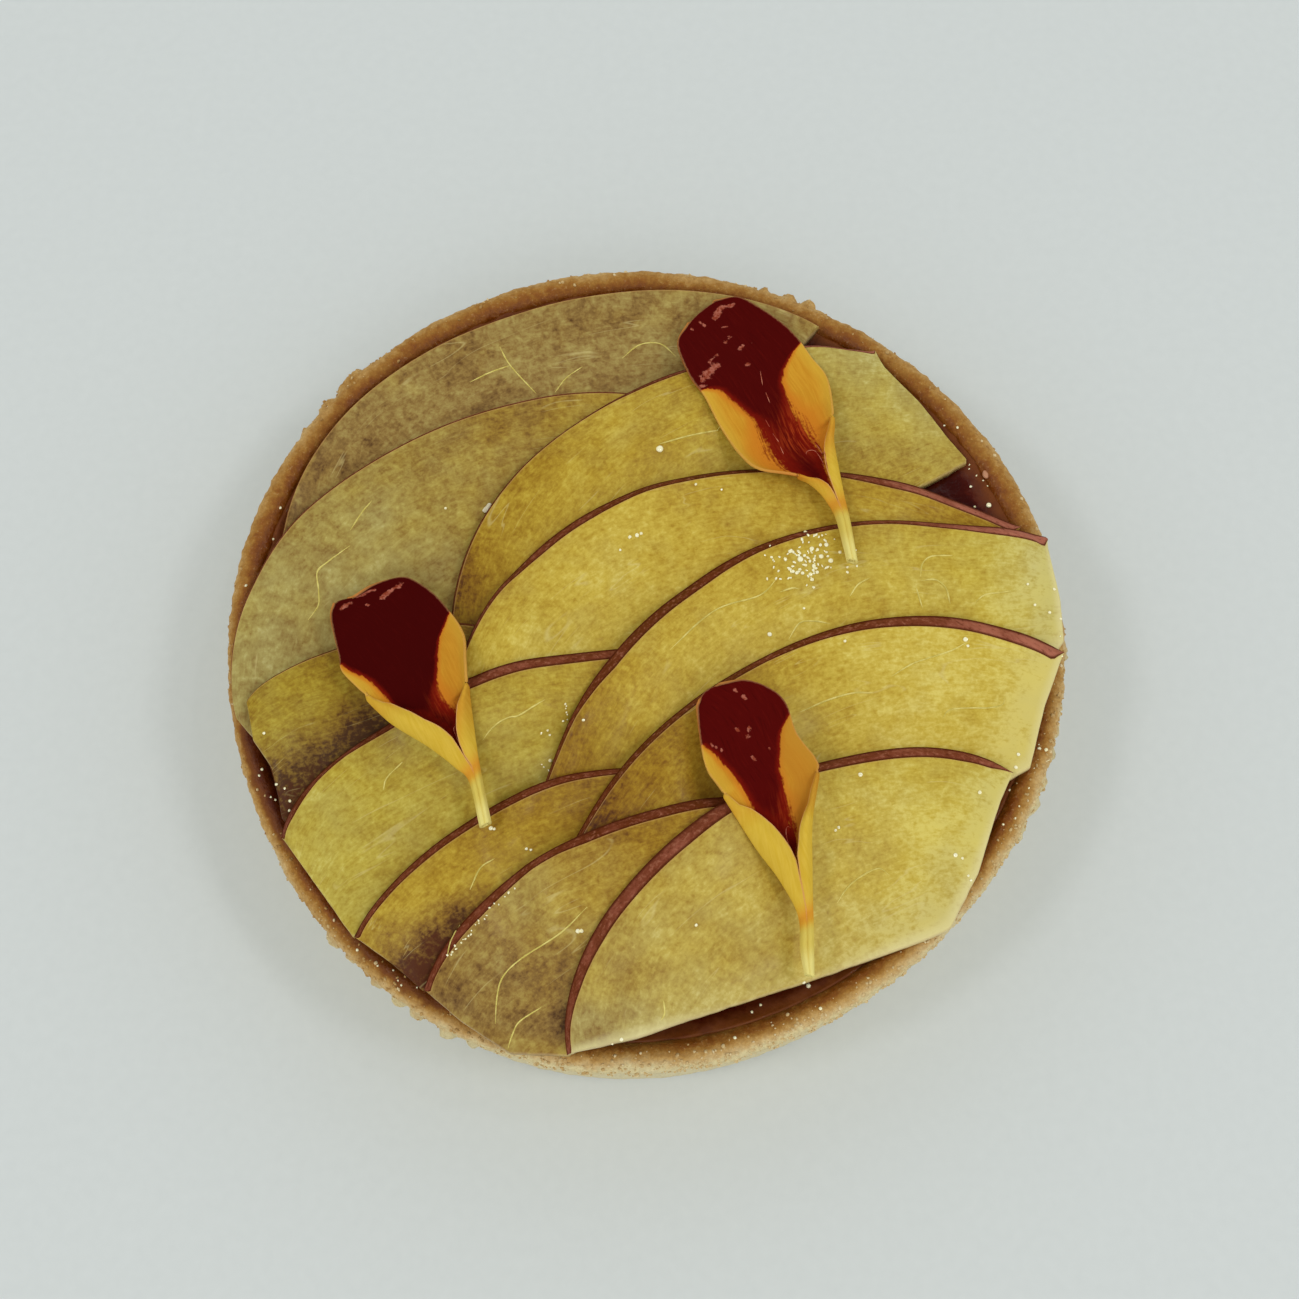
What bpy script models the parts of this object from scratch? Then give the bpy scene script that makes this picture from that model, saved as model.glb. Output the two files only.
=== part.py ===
"""Peach tartlet in metres, +Z up, origin at the middle of the shell's underside.

A baked cup of short dough holds red berry jam. Eleven thin peach slices are shingled over the jam, each
lying on the ones before it, and three flower petals lie on the slices. Every slice and petal is a limp
sheet that is laid on a height map of whatever is already there.
"""

from math import cos, pi, radians, sin

import bmesh
import bpy
import numpy as np
from mathutils import Vector
from mathutils.geometry import interpolate_bezier

# Shell: a cup baked in a perforated ring 80 mm across
RIM_RADIUS = 0.04007
BASE_RADIUS = 0.0396
HEIGHT = 0.018
WALL = 0.0027
FLOOR = 0.003
RIM_ROUND = 0.0012
BASE_ROUND = 0.0008
SHELL_SEGMENTS = 96
RIM_STEPS = 6
# How far the outline leaves a circle: waves around the rim, height of wave, direction of its crest
LOBES = (
    (1, 0.00017, radians(-81)),
    (2, 0.00013, radians(158)),
    (3, 0.00044, radians(37)),
    (4, 0.00015, radians(-50)),
)
RIM_WAVES = ((2, 0.00015, radians(20)), (5, 0.00012, radians(130)))

# Beads of dough that the ring's holes left near the top of the wall. BEAD_SIZE is half their width
# outwards, along the wall and upwards, and BEAD_STAND_OUT how far their middle is outside the wall.
BEAD_PITCH = 0.0026
BEAD_HEIGHT = HEIGHT - 0.0025
BEAD_SIZE = (0.0009, 0.00125, 0.0012)
BEAD_STAND_OUT = -0.0002
BEAD_ARCS = ((radians(-134), radians(-109)), (radians(-28), radians(-1)))

# Crumbs of dough baked onto the outside of the rim: direction and radius
CRUMB_HEIGHT = HEIGHT - 0.0010
RIM_CRUMBS = (
    (radians(137.5), 0.0008),
    (radians(142), 0.0007),
    (radians(64.5), 0.0006),
    (radians(67.5), 0.0006),
    (radians(71.5), 0.0005),
)

# Jam
JAM_LEVEL = 0.0164
JAM_SEGMENTS = 72
JAM_RINGS = 6
JAM_RISE_AT_WALL = 0.0004
JAM_WAVE = 0.00015
JAM_WAVE_LENGTH = 0.017

# Clearance between pieces that touch
GAP = 0.0003

# Peach slices, in the order in which they are laid. skin is a Bezier curve along the round edge that
# still has its skin; run_in and run_out carry it on, straight, under later slices. cut is the other
# edge, from the skin's start to its end: trimmed where it shows, hidden where later slices cover it.
SLICE_THICKNESS = 0.0010
SLICE_ROWS = 18
SLICE_COLUMNS = 6
TIP_BLUNTNESS = 0.0007
SLICES = (
    dict(
        name="peach_slice_01",
        skin=((-0.0349, 0.0109), (-0.0315, 0.0328), (0.0005, 0.0435), (0.0180, 0.0326)),
        run_in=0.0060,
        run_out=0.0,
        cut=((-0.0310, 0.0055), (-0.0240, 0.0110), (-0.0140, 0.0170), (-0.0040, 0.0205),
             (0.0060, 0.0235), (0.0130, 0.0270), (0.0160, 0.0304)),
        skin_width=0.0002,
    ),
    dict(
        name="peach_slice_02",
        skin=((-0.0378, -0.0088), (-0.0437, 0.0110), (-0.0190, 0.0268), (-0.0017, 0.0252)),
        run_in=0.0,
        run_out=0.0065,
        cut=((-0.0360, -0.0108), (-0.0300, -0.0085), (-0.0200, -0.0050), (-0.0125, 0.0015),
             (-0.0105, 0.0100), (-0.0040, 0.0165), (0.0030, 0.0205)),
        skin_width=0.0003,
    ),
    dict(
        name="peach_slice_03",
        skin=((-0.0182, 0.0017), (-0.0176, 0.0196), (0.0079, 0.0329), (0.0232, 0.0298)),
        run_in=0.0032,
        run_out=0.0,
        cut=((-0.0130, -0.0015), (-0.0080, 0.0025), (0.0, 0.0070), (0.0100, 0.0105), (0.0200, 0.0118),
             (0.0275, 0.0152), (0.0323, 0.0178), (0.0275, 0.0240), (0.0243, 0.0276)),
        skin_width=0.0004,
    ),
    dict(
        name="peach_slice_04",
        skin=((-0.0365, -0.0075), (-0.0332, -0.0016), (-0.0206, 0.0013), (-0.0156, 0.0001)),
        run_in=0.0,
        run_out=0.0032,
        cut=((-0.0356, -0.0114), (-0.0338, -0.0139), (-0.0331, -0.0167), (-0.0327, -0.0186),
             (-0.0300, -0.0190), (-0.0245, -0.0135), (-0.0180, -0.0090), (-0.0135, -0.0050)),
        skin_width=0.00045,
    ),
    dict(
        name="peach_slice_05",
        skin=((-0.0163, -0.0022), (-0.0093, 0.0180), (0.0185, 0.0213), (0.0350, 0.0115)),
        run_in=0.0058,
        run_out=0.0020,
        cut=((-0.0140, -0.0080), (-0.0060, -0.0060), (0.0030, -0.0020), (0.0090, 0.0015), (0.0180, 0.0055),
             (0.0280, 0.0065), (0.0345, 0.0070)),
        skin_width=0.0009,
    ),
    dict(
        name="peach_slice_06",
        skin=((-0.0326, -0.0201), (-0.0304, -0.0096), (-0.0115, -0.0037), (-0.0022, -0.0021)),
        run_in=0.0,
        run_out=0.0045,
        cut=((-0.0256, -0.0292), (-0.0225, -0.0280), (-0.0160, -0.0230), (-0.0090, -0.0195),
             (-0.0030, -0.0165), (0.0010, -0.0090)),
        skin_width=0.00085,
    ),
    dict(
        name="peach_slice_07",
        skin=((-0.0086, -0.0145), (-0.0002, 0.0074), (0.0164, 0.0148), (0.0388, 0.0090)),
        run_in=0.0055,
        run_out=0.0,
        cut=((-0.0070, -0.0230), (-0.0030, -0.0205), (0.0020, -0.0140), (0.0090, -0.0080), (0.0190, -0.0030),
             (0.0290, -0.0030), (0.0365, -0.0060), (0.0398, -0.0014), (0.0398, 0.0026), (0.0393, 0.0060)),
        skin_width=0.0012,
    ),
    dict(
        name="peach_slice_08",
        skin=((-0.0254, -0.0292), (-0.0214, -0.0200), (-0.0114, -0.0149), (-0.0018, -0.0141)),
        run_in=0.0,
        run_out=0.0045,
        cut=((-0.0220, -0.0315), (-0.0191, -0.0339), (-0.0160, -0.0330), (-0.0100, -0.0270),
             (-0.0030, -0.0230), (0.0035, -0.0200)),
        skin_width=0.00085,
    ),
    dict(
        name="peach_slice_09",
        skin=((-0.0054, -0.0198), (0.0031, -0.0047), (0.0228, 0.0081), (0.0394, -0.0027)),
        run_in=0.0055,
        run_out=0.0,
        cut=((-0.0020, -0.0275), (0.0050, -0.0250), (0.0120, -0.0195), (0.0210, -0.0165), (0.0300, -0.0175),
             (0.0341, -0.0145), (0.0357, -0.0137), (0.0373, -0.0080)),
        skin_width=0.0010,
    ),
    dict(
        name="peach_slice_10",
        skin=((-0.0190, -0.0338), (-0.0165, -0.0234), (-0.0019, -0.0186), (0.0074, -0.0170)),
        run_in=0.0,
        run_out=0.0045,
        cut=((-0.0156, -0.0366), (-0.0114, -0.0392), (-0.0063, -0.0394), (-0.0030, -0.0365),
             (0.0030, -0.0290), (0.0095, -0.0215)),
        skin_width=0.0011,
    ),
    dict(
        name="peach_slice_11",
        skin=((-0.0064, -0.0394), (-0.0096, -0.0245), (0.0219, -0.0040), (0.0339, -0.0142)),
        run_in=0.0,
        run_out=0.0,
        cut=((-0.0001, -0.0380), (0.0146, -0.0331), (0.0260, -0.0291), (0.0275, -0.0284),
             (0.0303, -0.0234), (0.0326, -0.0170)),
        skin_width=0.00135,
    ),
)

# Petals: left and right margins of each, from the tip of the blade to the end of the stalk
PETAL_THICKNESS = 0.00045
STALK_THICKNESS = 0.0009
PETAL_ROWS = 20
PETAL_COLUMNS = 6
PETALS = (
    dict(
        name="petal_upper",
        left=((0.0046, 0.0320), (0.0035, 0.0295), (0.0047, 0.0256), (0.0061, 0.0234), (0.0076, 0.0204),
              (0.0095, 0.0172), (0.0114, 0.0155), (0.0152, 0.0148), (0.0171, 0.0134), (0.0184, 0.0110),
              (0.0191, 0.0080), (0.0195, 0.0060)),
        right=((0.0073, 0.0347), (0.0097, 0.0351), (0.0123, 0.0335), (0.0148, 0.0312), (0.0169, 0.0281),
               (0.0184, 0.0256), (0.0187, 0.0209), (0.0186, 0.0188), (0.0190, 0.0156), (0.0196, 0.0110),
               (0.0203, 0.0058)),
        fold=0.0014,
    ),
    dict(
        name="petal_left",
        left=((-0.0288, 0.0016), (-0.0290, 0.0), (-0.0280, -0.0037), (-0.0276, -0.0052), (-0.0257, -0.0072),
              (-0.0226, -0.0104), (-0.0189, -0.0127), (-0.0167, -0.0143), (-0.0154, -0.0156),
              (-0.0143, -0.0198)),
        right=((-0.0270, 0.0022), (-0.0251, 0.0035), (-0.0227, 0.0042), (-0.0210, 0.0036), (-0.0188, 0.0017),
               (-0.0165, -0.0017), (-0.0160, -0.0049), (-0.0157, -0.0077), (-0.0151, -0.0120),
               (-0.0146, -0.0147), (-0.0135, -0.0194)),
        fold=0.0016,
    ),
    dict(
        name="petal_lower",
        left=((0.0052, -0.0086), (0.0050, -0.0098), (0.0056, -0.0146), (0.0069, -0.0171), (0.0099, -0.0219),
              (0.0121, -0.0248), (0.0137, -0.0278), (0.0138, -0.0308), (0.0141, -0.0329)),
        right=((0.0071, -0.0070), (0.0094, -0.0066), (0.0116, -0.0074), (0.0130, -0.0088), (0.0139, -0.0117),
               (0.0155, -0.0141), (0.0156, -0.0155), (0.0149, -0.0196), (0.0148, -0.0239),
               (0.0148, -0.0282), (0.0147, -0.0331)),
        fold=0.0017,
    ),
)

# Height map on which the sheets are laid
MAP_HALF = 0.043
MAP_CELL = 0.0005
CELL_STEPS = 9
CLOSEST_LINK = 0.001
RELAX_ROUNDS = 600
# Radius to which an unsupported stretch of a sheet bends under its own weight
SLICE_BEND = 0.034
PETAL_BEND = 0.090


def clear_scene():
    """Empty the file that the script starts in."""
    for thing in list(bpy.data.objects):
        bpy.data.objects.remove(thing)


def collection(name):
    """New collection under the scene."""
    group = bpy.data.collections.new(name)
    bpy.context.scene.collection.children.link(group)
    return group


def material(name, colour, roughness):
    """Plain Principled material."""
    paint = bpy.data.materials.new(name)
    paint.use_nodes = True
    shader = paint.node_tree.nodes["Principled BSDF"]
    shader.inputs["Base Color"].default_value = (*colour, 1.0)
    shader.inputs["Roughness"].default_value = roughness
    shader.inputs["Metallic"].default_value = 0.0
    return paint


def new_object(name, mesh, group, paint=None):
    """Object for a bmesh, linked to a collection."""
    data = bpy.data.meshes.new(name)
    mesh.to_mesh(data)
    mesh.free()
    thing = bpy.data.objects.new(name, data)
    group.objects.link(thing)
    if paint:
        data.materials.append(paint)
    return thing


def apply_modifiers(thing):
    """Swap an object's mesh for the one that its modifiers give."""
    view = bpy.context.evaluated_depsgraph_get()
    data = bpy.data.meshes.new_from_object(thing.evaluated_get(view))
    thing.modifiers.clear()
    thing.data = data


def waves(table, angle):
    """Sum of waves around the shell at an angle."""
    return sum(height * np.cos(count * angle - crest) for count, height, crest in table)


def turned(name, profile, segments, group, paint):
    """Solid of revolution. The profile runs from the axis over the top and down the outer side."""
    line = bmesh.new()
    points = [line.verts.new((radius, 0.0, height)) for radius, height in profile]
    for start, end in zip(points, points[1:]):
        line.edges.new((start, end))
    thing = new_object(name, line, group, paint)
    screw = thing.modifiers.new("turn", "SCREW")
    screw.steps = segments
    screw.render_steps = segments
    screw.use_merge_vertices = True
    screw.merge_threshold = 0.00005
    apply_modifiers(thing)
    return thing


def follow_outline(thing):
    """Carry a round solid out to the lobed outline of the ring, and its rim to its uneven height."""
    for vertex in thing.data.vertices:
        x, y, z = vertex.co
        radius = np.hypot(x, y)
        if radius < MAP_CELL:
            continue
        angle = np.arctan2(y, x)
        stretch = 1 + waves(LOBES, angle) * radius / RIM_RADIUS**2
        lift = waves(RIM_WAVES, angle) * max(0.0, z - FLOOR) / (HEIGHT - FLOOR)
        vertex.co = (x * stretch, y * stretch, z + lift)


def jam_height(x, y):
    """Level of the jam, slightly uneven and drawn up towards the wall."""
    wave = JAM_WAVE * np.sin(x / JAM_WAVE_LENGTH * 2 * pi + 1) * np.cos(y / JAM_WAVE_LENGTH * 2 * pi)
    edge = (np.hypot(x, y) / (RIM_RADIUS - WALL)) ** 8
    return JAM_LEVEL + wave * (1 - edge) + JAM_RISE_AT_WALL * edge


def rim_height(radius, angle):
    """Top of the rounded rim, kept level past its outer side."""
    middle = RIM_RADIUS - WALL / 2 + waves(LOBES, angle)
    offset = np.clip((middle - radius) / (WALL / 2), 0, 1)
    return HEIGHT + waves(RIM_WAVES, angle) - RIM_ROUND * (1 - np.sqrt(1 - offset**2))


def make_shell(group, paint):
    """Cup of short dough with a rounded rim, beads from the ring's holes and a few crumbs."""
    inner = RIM_RADIUS - WALL
    middle = RIM_RADIUS - WALL / 2
    profile = [(0.0, FLOOR), (inner, FLOOR)]
    for step in range(RIM_STEPS + 1):
        turn = pi * step / RIM_STEPS
        profile.append((middle - WALL / 2 * cos(turn), HEIGHT - RIM_ROUND + RIM_ROUND * sin(turn)))
    profile += [(BASE_RADIUS, BASE_ROUND), (BASE_RADIUS - BASE_ROUND, 0.0), (0.0, 0.0)]
    shell = turned("tart_shell", profile, SHELL_SEGMENTS, group, paint)
    follow_outline(shell)

    relief = collection("shell_relief")
    random = np.random.default_rng(5)
    for start, end in BEAD_ARCS:
        for angle in np.arange(start, end, BEAD_PITCH / RIM_RADIUS):
            size = np.array(BEAD_SIZE) * random.uniform(0.75, 1.1, 3)
            radius = RIM_RADIUS + waves(LOBES, angle) + BEAD_STAND_OUT
            height = BEAD_HEIGHT + random.uniform(-0.0003, 0.0003)
            dough_lump("bead", angle, radius, height, size, relief)
    for angle, size in RIM_CRUMBS:
        dough_lump("crumb", angle, RIM_RADIUS + waves(LOBES, angle), CRUMB_HEIGHT, (size, size, size), relief)

    union = shell.modifiers.new("relief", "BOOLEAN")
    union.operation = "UNION"
    union.operand_type = "COLLECTION"
    union.collection = relief
    apply_modifiers(shell)
    for lump in list(relief.objects):
        bpy.data.objects.remove(lump)
    bpy.data.collections.remove(relief)
    shade(shell)


def dough_lump(name, angle, radius, height, size, group):
    """Squashed ball on the wall; size is its half width outwards, along the wall and upwards."""
    lump = bmesh.new()
    bmesh.ops.create_icosphere(lump, subdivisions=1, radius=1.0)
    for vertex in lump.verts:
        out, along, up = Vector(size) * vertex.co
        reach = radius + out
        vertex.co = (
            reach * cos(angle) - along * sin(angle),
            reach * sin(angle) + along * cos(angle),
            height + up,
        )
    new_object(name, lump, group)


def shade(thing, angle=radians(35)):
    """Smooth shading with the real corners kept sharp."""
    thing.data.shade_smooth()
    thing.data.set_sharp_from_angle(angle=angle)


def make_jam(group, paint):
    """Jam from the floor of the cup to just below its rim, clear of the shell all round."""
    radius = RIM_RADIUS - WALL - GAP
    profile = [(radius * ring / JAM_RINGS, JAM_LEVEL) for ring in range(JAM_RINGS + 1)]
    profile += [(radius, FLOOR + GAP), (0.0, FLOOR + GAP)]
    jam = turned("jam_filling", profile, JAM_SEGMENTS, group, paint)
    for vertex in jam.data.vertices:
        if vertex.co.z > JAM_LEVEL - GAP:
            vertex.co.z = jam_height(vertex.co.x, vertex.co.y)
    follow_outline(jam)
    shade(jam)


def start_map():
    """Height map of the filled shell: jam inside the wall, rim over it and beyond."""
    line = np.arange(-MAP_HALF, MAP_HALF + MAP_CELL / 2, MAP_CELL)
    x, y = np.meshgrid(line, line, indexing="ij")
    radius = np.hypot(x, y)
    angle = np.arctan2(y, x)
    wall = RIM_RADIUS - WALL + waves(LOBES, angle)
    return np.where(radius < wall, jam_height(x, y), rim_height(radius, angle))


def map_place(points):
    """Indices of the map's cells at x and y."""
    place = np.rint((points[..., :2] + MAP_HALF) / MAP_CELL).astype(int)
    return place[..., 0], place[..., 1]


def widened(field):
    """Each cell takes the highest of itself and its eight neighbours."""
    edge = np.pad(field, 1, mode="edge")
    rows, columns = field.shape
    return np.max([edge[i:i + rows, j:j + columns] for i in range(3) for j in range(3)], axis=0)


def corner_weights():
    """Share of each corner of a grid cell at points spread evenly over the cell."""
    line = np.linspace(0, 1, CELL_STEPS)
    a, b = np.meshgrid(line, line, indexing="ij")
    return {(0, 0): (1 - a) * (1 - b), (1, 0): a * (1 - b), (0, 1): (1 - a) * b, (1, 1): a * b}


CORNERS = corner_weights()


def spread(grid):
    """Values at points spread evenly over each cell of a grid, blended from the cell's corners."""
    rows, columns = grid.shape[0] - 1, grid.shape[1] - 1
    total = 0
    for (i, j), weight in CORNERS.items():
        corner = grid[i:i + rows, j:j + columns]
        extra = (None,) * (grid.ndim - 2)
        total = total + corner[:, :, None, None] * weight[(...,) + extra]
    return total


def lift_clear(heights, floor):
    """Raise the corners of each cell that dips below the floor, no more than it needs."""
    rows, columns = heights.shape[0] - 1, heights.shape[1] - 1
    short = np.maximum(floor - spread(heights), 0)
    share = sum(weight**2 for weight in CORNERS.values())
    lift = np.zeros_like(heights)
    for (i, j), weight in CORNERS.items():
        part = lift[i:i + rows, j:j + columns]
        np.maximum(part, (short * weight / share).max(axis=(2, 3)), out=part)
    return heights + lift, short.max()


def link_weights(plan):
    """How strongly neighbours along a grid's rows and columns hold each other level."""
    weights = []
    for axis in (0, 1):
        step = np.hypot(*np.moveaxis(np.diff(plan, axis=axis), 2, 0))
        weights.append(1 / np.maximum(step, CLOSEST_LINK) ** 2)
    return weights


def relaxed(heights, weights, bend):
    """Each point moves half way to its neighbours' mean, less the droop that gives the bend."""
    total = np.zeros_like(heights)
    strength = np.zeros_like(heights)
    sides = ((np.s_[1:, :], np.s_[:-1, :]), (np.s_[:, 1:], np.s_[:, :-1]))
    for weight, (here, there) in zip(weights, sides):
        total[here] += weight * heights[there]
        strength[here] += weight
        total[there] += weight * heights[here]
        strength[there] += weight
    return (heights + total / strength) / 2 - 1 / (bend * strength)


def lay(field, plan, relief, bend):
    """Heights of a sheet's underside: it sinks onto the map, stretched flat between what holds it up.

    plan holds x and y of a grid of points, relief how far each is bent up out of the sheet.
    """
    floor = widened(field)[map_place(spread(plan))] + GAP - spread(relief)
    heights = np.full(plan.shape[:2], floor.max())
    weights = link_weights(plan)
    for _ in range(RELAX_ROUNDS):
        heights, short = lift_clear(relaxed(heights, weights, bend), floor)
    while short > 1e-6:
        heights, short = lift_clear(heights, floor)
    return heights + relief


def add_to_map(field, plan, top):
    """Raise the map to the top of a sheet that has been laid."""
    np.maximum.at(field, map_place(spread(plan)), spread(top))


def along(points, count):
    """Points at even steps of length along a polyline."""
    points = np.asarray(points, float)
    length = np.r_[0, np.cumsum(np.hypot(*np.diff(points, axis=0).T))]
    steps = np.linspace(0, length[-1], count)
    return np.column_stack([np.interp(steps, length, column) for column in points.T])


def carried_on(points, run_in, run_out):
    """Polyline lengthened straight on at its two ends."""
    ends = []
    for tip, inner, run in ((points[0], points[1], run_in), (points[-1], points[-2], run_out)):
        heading = tip - inner
        ends.append(tip + heading / np.hypot(*heading) * run)
    return np.array([ends[0], *points[1:-1], ends[1]])


def toward(start, end, distance):
    """Point at a distance from one point on the way to another."""
    heading = np.subtract(end, start)
    return start + heading / np.hypot(*heading) * distance


def slice_plan(shape):
    """Grids of x and y for a slice's underside and top: rows along the skin, columns to the cut edge."""
    handles = [Vector((*point, 0.0)) for point in shape["skin"]]
    curve = np.array(interpolate_bezier(*handles, 4 * SLICE_ROWS))[:, :2]
    skin = along(carried_on(curve, shape["run_in"], shape["run_out"]), SLICE_ROWS + 1)
    cut = list(shape["cut"])
    cut = [toward(skin[0], cut[0], TIP_BLUNTNESS), *cut, toward(skin[-1], cut[-1], TIP_BLUNTNESS)]
    cut = along(cut, SLICE_ROWS + 1)
    across = np.linspace(0, 1, SLICE_COLUMNS + 1)[None, :, None]
    under = skin[:, None] * (1 - across) + cut[:, None] * across
    inward = cut - skin
    reach = np.hypot(*inward.T)[:, None]
    bevel = np.minimum(shape["skin_width"], reach / 4)
    top_skin = skin + inward / reach * bevel
    top = top_skin[:, None] * (1 - across) + cut[:, None] * across
    return under, top


def petal_plan(shape):
    """Grid of x and y for a petal: rows from tip to stalk, columns from left to right margin."""
    left = along(shape["left"], PETAL_ROWS + 1)
    right = along(shape["right"], PETAL_ROWS + 1)
    across = np.linspace(0, 1, PETAL_COLUMNS + 1)[None, :, None]
    return left[:, None] * (1 - across) + right[:, None] * across


def petal_relief(shape):
    """How far a petal's margins curl up: a little at the blade, most at the throat, none at the stalk."""
    down = np.linspace(0, 1, PETAL_ROWS + 1)[:, None]
    across = np.linspace(-1, 1, PETAL_COLUMNS + 1)[None, :]
    throat = np.exp(-(((down - 0.6) / 0.17) ** 2))
    blade = 0.25 * np.clip(1 - down / 0.5, 0, 1)
    return shape["fold"] * (throat + blade) * np.abs(across) ** 1.6


def petal_thickness():
    """Thickness of a petal by rows: a thin blade and a rounder stalk."""
    down = np.linspace(0, 1, PETAL_ROWS + 1)[:, None]
    stalk = np.clip((down - 0.7) / 0.15, 0, 1)
    return PETAL_THICKNESS + (STALK_THICKNESS - PETAL_THICKNESS) * stalk


def sheet_solid(name, under, top, group, paint):
    """Closed sheet between two grids of points, with both faces split into triangles alike."""
    rows, columns = top.shape[0] - 1, top.shape[1] - 1
    sheet = bmesh.new()
    bmesh.ops.create_grid(sheet, x_segments=rows, y_segments=columns, size=0.5)
    bmesh.ops.triangulate(sheet, faces=sheet.faces[:], quad_method="FIXED")
    made = bmesh.ops.extrude_face_region(sheet, geom=sheet.faces[:], use_keep_orig=True)["geom"]
    lower = {item for item in made if isinstance(item, bmesh.types.BMVert)}
    for vertex in sheet.verts:
        i = round((vertex.co.x + 0.5) * rows)
        j = round((vertex.co.y + 0.5) * columns)
        vertex.co = under[i, j] if vertex in lower else top[i, j]
    bmesh.ops.triangulate(sheet, faces=[face for face in sheet.faces if len(face.verts) > 3])
    bmesh.ops.recalc_face_normals(sheet, faces=sheet.faces[:])
    shade(new_object(name, sheet, group, paint))


def make_slices(field, group, paint):
    """Peach slices, each laid on the ones before it."""
    for shape in SLICES:
        under_plan, top_plan = slice_plan(shape)
        flat = np.zeros(under_plan.shape[:2])
        under = lay(field, under_plan, flat, SLICE_BEND)
        top = under + SLICE_THICKNESS
        add_to_map(field, under_plan, top)
        sheet_solid(shape["name"], np.dstack([under_plan, under]), np.dstack([top_plan, top]), group, paint)


def make_petals(field, group, paint):
    """Ray petals with their margins curled up towards a closed throat and a stalk."""
    for shape in PETALS:
        plan = petal_plan(shape)
        under = lay(field, plan, petal_relief(shape), PETAL_BEND)
        top = under + petal_thickness()
        sheet_solid(shape["name"], np.dstack([plan, under]), np.dstack([plan, top]), group, paint)


def make_tartlet():
    """Whole tartlet, from the shell up."""
    clear_scene()
    group = collection("peach_tartlet")
    make_shell(group, material("baked_dough", (0.53, 0.32, 0.13), 0.75))
    make_jam(group, material("berry_jam", (0.10, 0.012, 0.012), 0.15))
    field = start_map()
    make_slices(field, group, material("peach_flesh", (0.50, 0.40, 0.10), 0.35))
    make_petals(field, group, material("petal", (0.20, 0.012, 0.010), 0.55))


make_tartlet()
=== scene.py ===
"""Looks of a peach tartlet: short dough, berry jam, shingled peach slices and three ray petals."""

from math import cos, pi, radians, sin

import bpy
import numpy as np
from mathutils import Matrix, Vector, noise
from mathutils.bvhtree import BVHTree
from mathutils.geometry import interpolate_bezier
from mathutils.kdtree import KDTree


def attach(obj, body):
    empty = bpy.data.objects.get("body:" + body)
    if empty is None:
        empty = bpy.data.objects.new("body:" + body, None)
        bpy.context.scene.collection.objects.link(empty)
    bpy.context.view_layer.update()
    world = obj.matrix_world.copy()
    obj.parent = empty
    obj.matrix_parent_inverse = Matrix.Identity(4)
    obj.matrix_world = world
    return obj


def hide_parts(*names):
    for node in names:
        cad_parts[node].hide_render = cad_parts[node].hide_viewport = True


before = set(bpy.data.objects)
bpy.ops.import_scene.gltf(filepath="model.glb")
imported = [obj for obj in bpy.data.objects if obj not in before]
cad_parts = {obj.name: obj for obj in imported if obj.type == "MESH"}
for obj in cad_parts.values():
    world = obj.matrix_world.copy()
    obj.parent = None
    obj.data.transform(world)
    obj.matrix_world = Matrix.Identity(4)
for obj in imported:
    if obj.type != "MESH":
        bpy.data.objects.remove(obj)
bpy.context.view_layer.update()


# ---------------------------------------------------------------------------------------------------
# Table, daylight and camera
# The tartlet lies on a pale table under broad ceiling lights to its left and right. The camera is held
# by hand 15 cm above the fruit and leans 18.5 degrees towards the near side.
# ---------------------------------------------------------------------------------------------------

CAMERA_TILT = radians(18.5)
CAMERA_DISTANCE = 0.150
CAMERA_AIM = Vector((0.0007, -0.0018, 0.018))
FRAME_PIXELS = 1299
FOCAL_PIXELS = 1579
SENSOR = 36.0


def seen(red, green, blue):
    """Linear colour of a screen colour from 0 to 255."""
    return tuple(((c / 255 + 0.055) / 1.055) ** 2.4 for c in (red, green, blue))


def fill(node, inputs):
    """Give named inputs of a node a value each, or a link from another node's socket."""
    for name, value in inputs.items():
        socket = node.inputs[name]
        if isinstance(value, bpy.types.NodeSocket):
            node.id_data.links.new(value, socket)
        elif hasattr(value, "__len__") and socket.type == "RGBA":
            socket.default_value = (*value, 1.0)
        else:
            socket.default_value = value


def add(tree, kind, inputs=None, **settings):
    """New node with its settings, and its inputs filled."""
    made = tree.nodes.new(kind)
    for name, value in settings.items():
        setattr(made, name, value)
    fill(made, inputs or {})
    return made


def new_object(name, data):
    """Object in the scene that holds some data."""
    made = bpy.data.objects.new(name, data)
    bpy.context.scene.collection.objects.link(made)
    return made


def new_material(name):
    """Material with an empty Principled shader, its tree and the shader."""
    paint = bpy.data.materials.new(name)
    paint.use_nodes = True
    tree = paint.node_tree
    return paint, tree, tree.nodes["Principled BSDF"]


def place(tree):
    """Object coordinates in metres."""
    return add(tree, "ShaderNodeTexCoord").outputs["Object"]


def speckle(where, size, detail=2.0, roughness=0.5, stretch=None, swirl=0.0):
    """Noise from 0 to 1 with spots of a size in metres."""
    tree = where.id_data
    if stretch:
        where = add(tree, "ShaderNodeMapping", {"Vector": where, "Scale": stretch}).outputs[0]
    inputs = {"Vector": where, "Scale": 1 / size, "Detail": detail, "Roughness": roughness, "Distortion": swirl}
    return add(tree, "ShaderNodeTexNoise", inputs).outputs[0]


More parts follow.
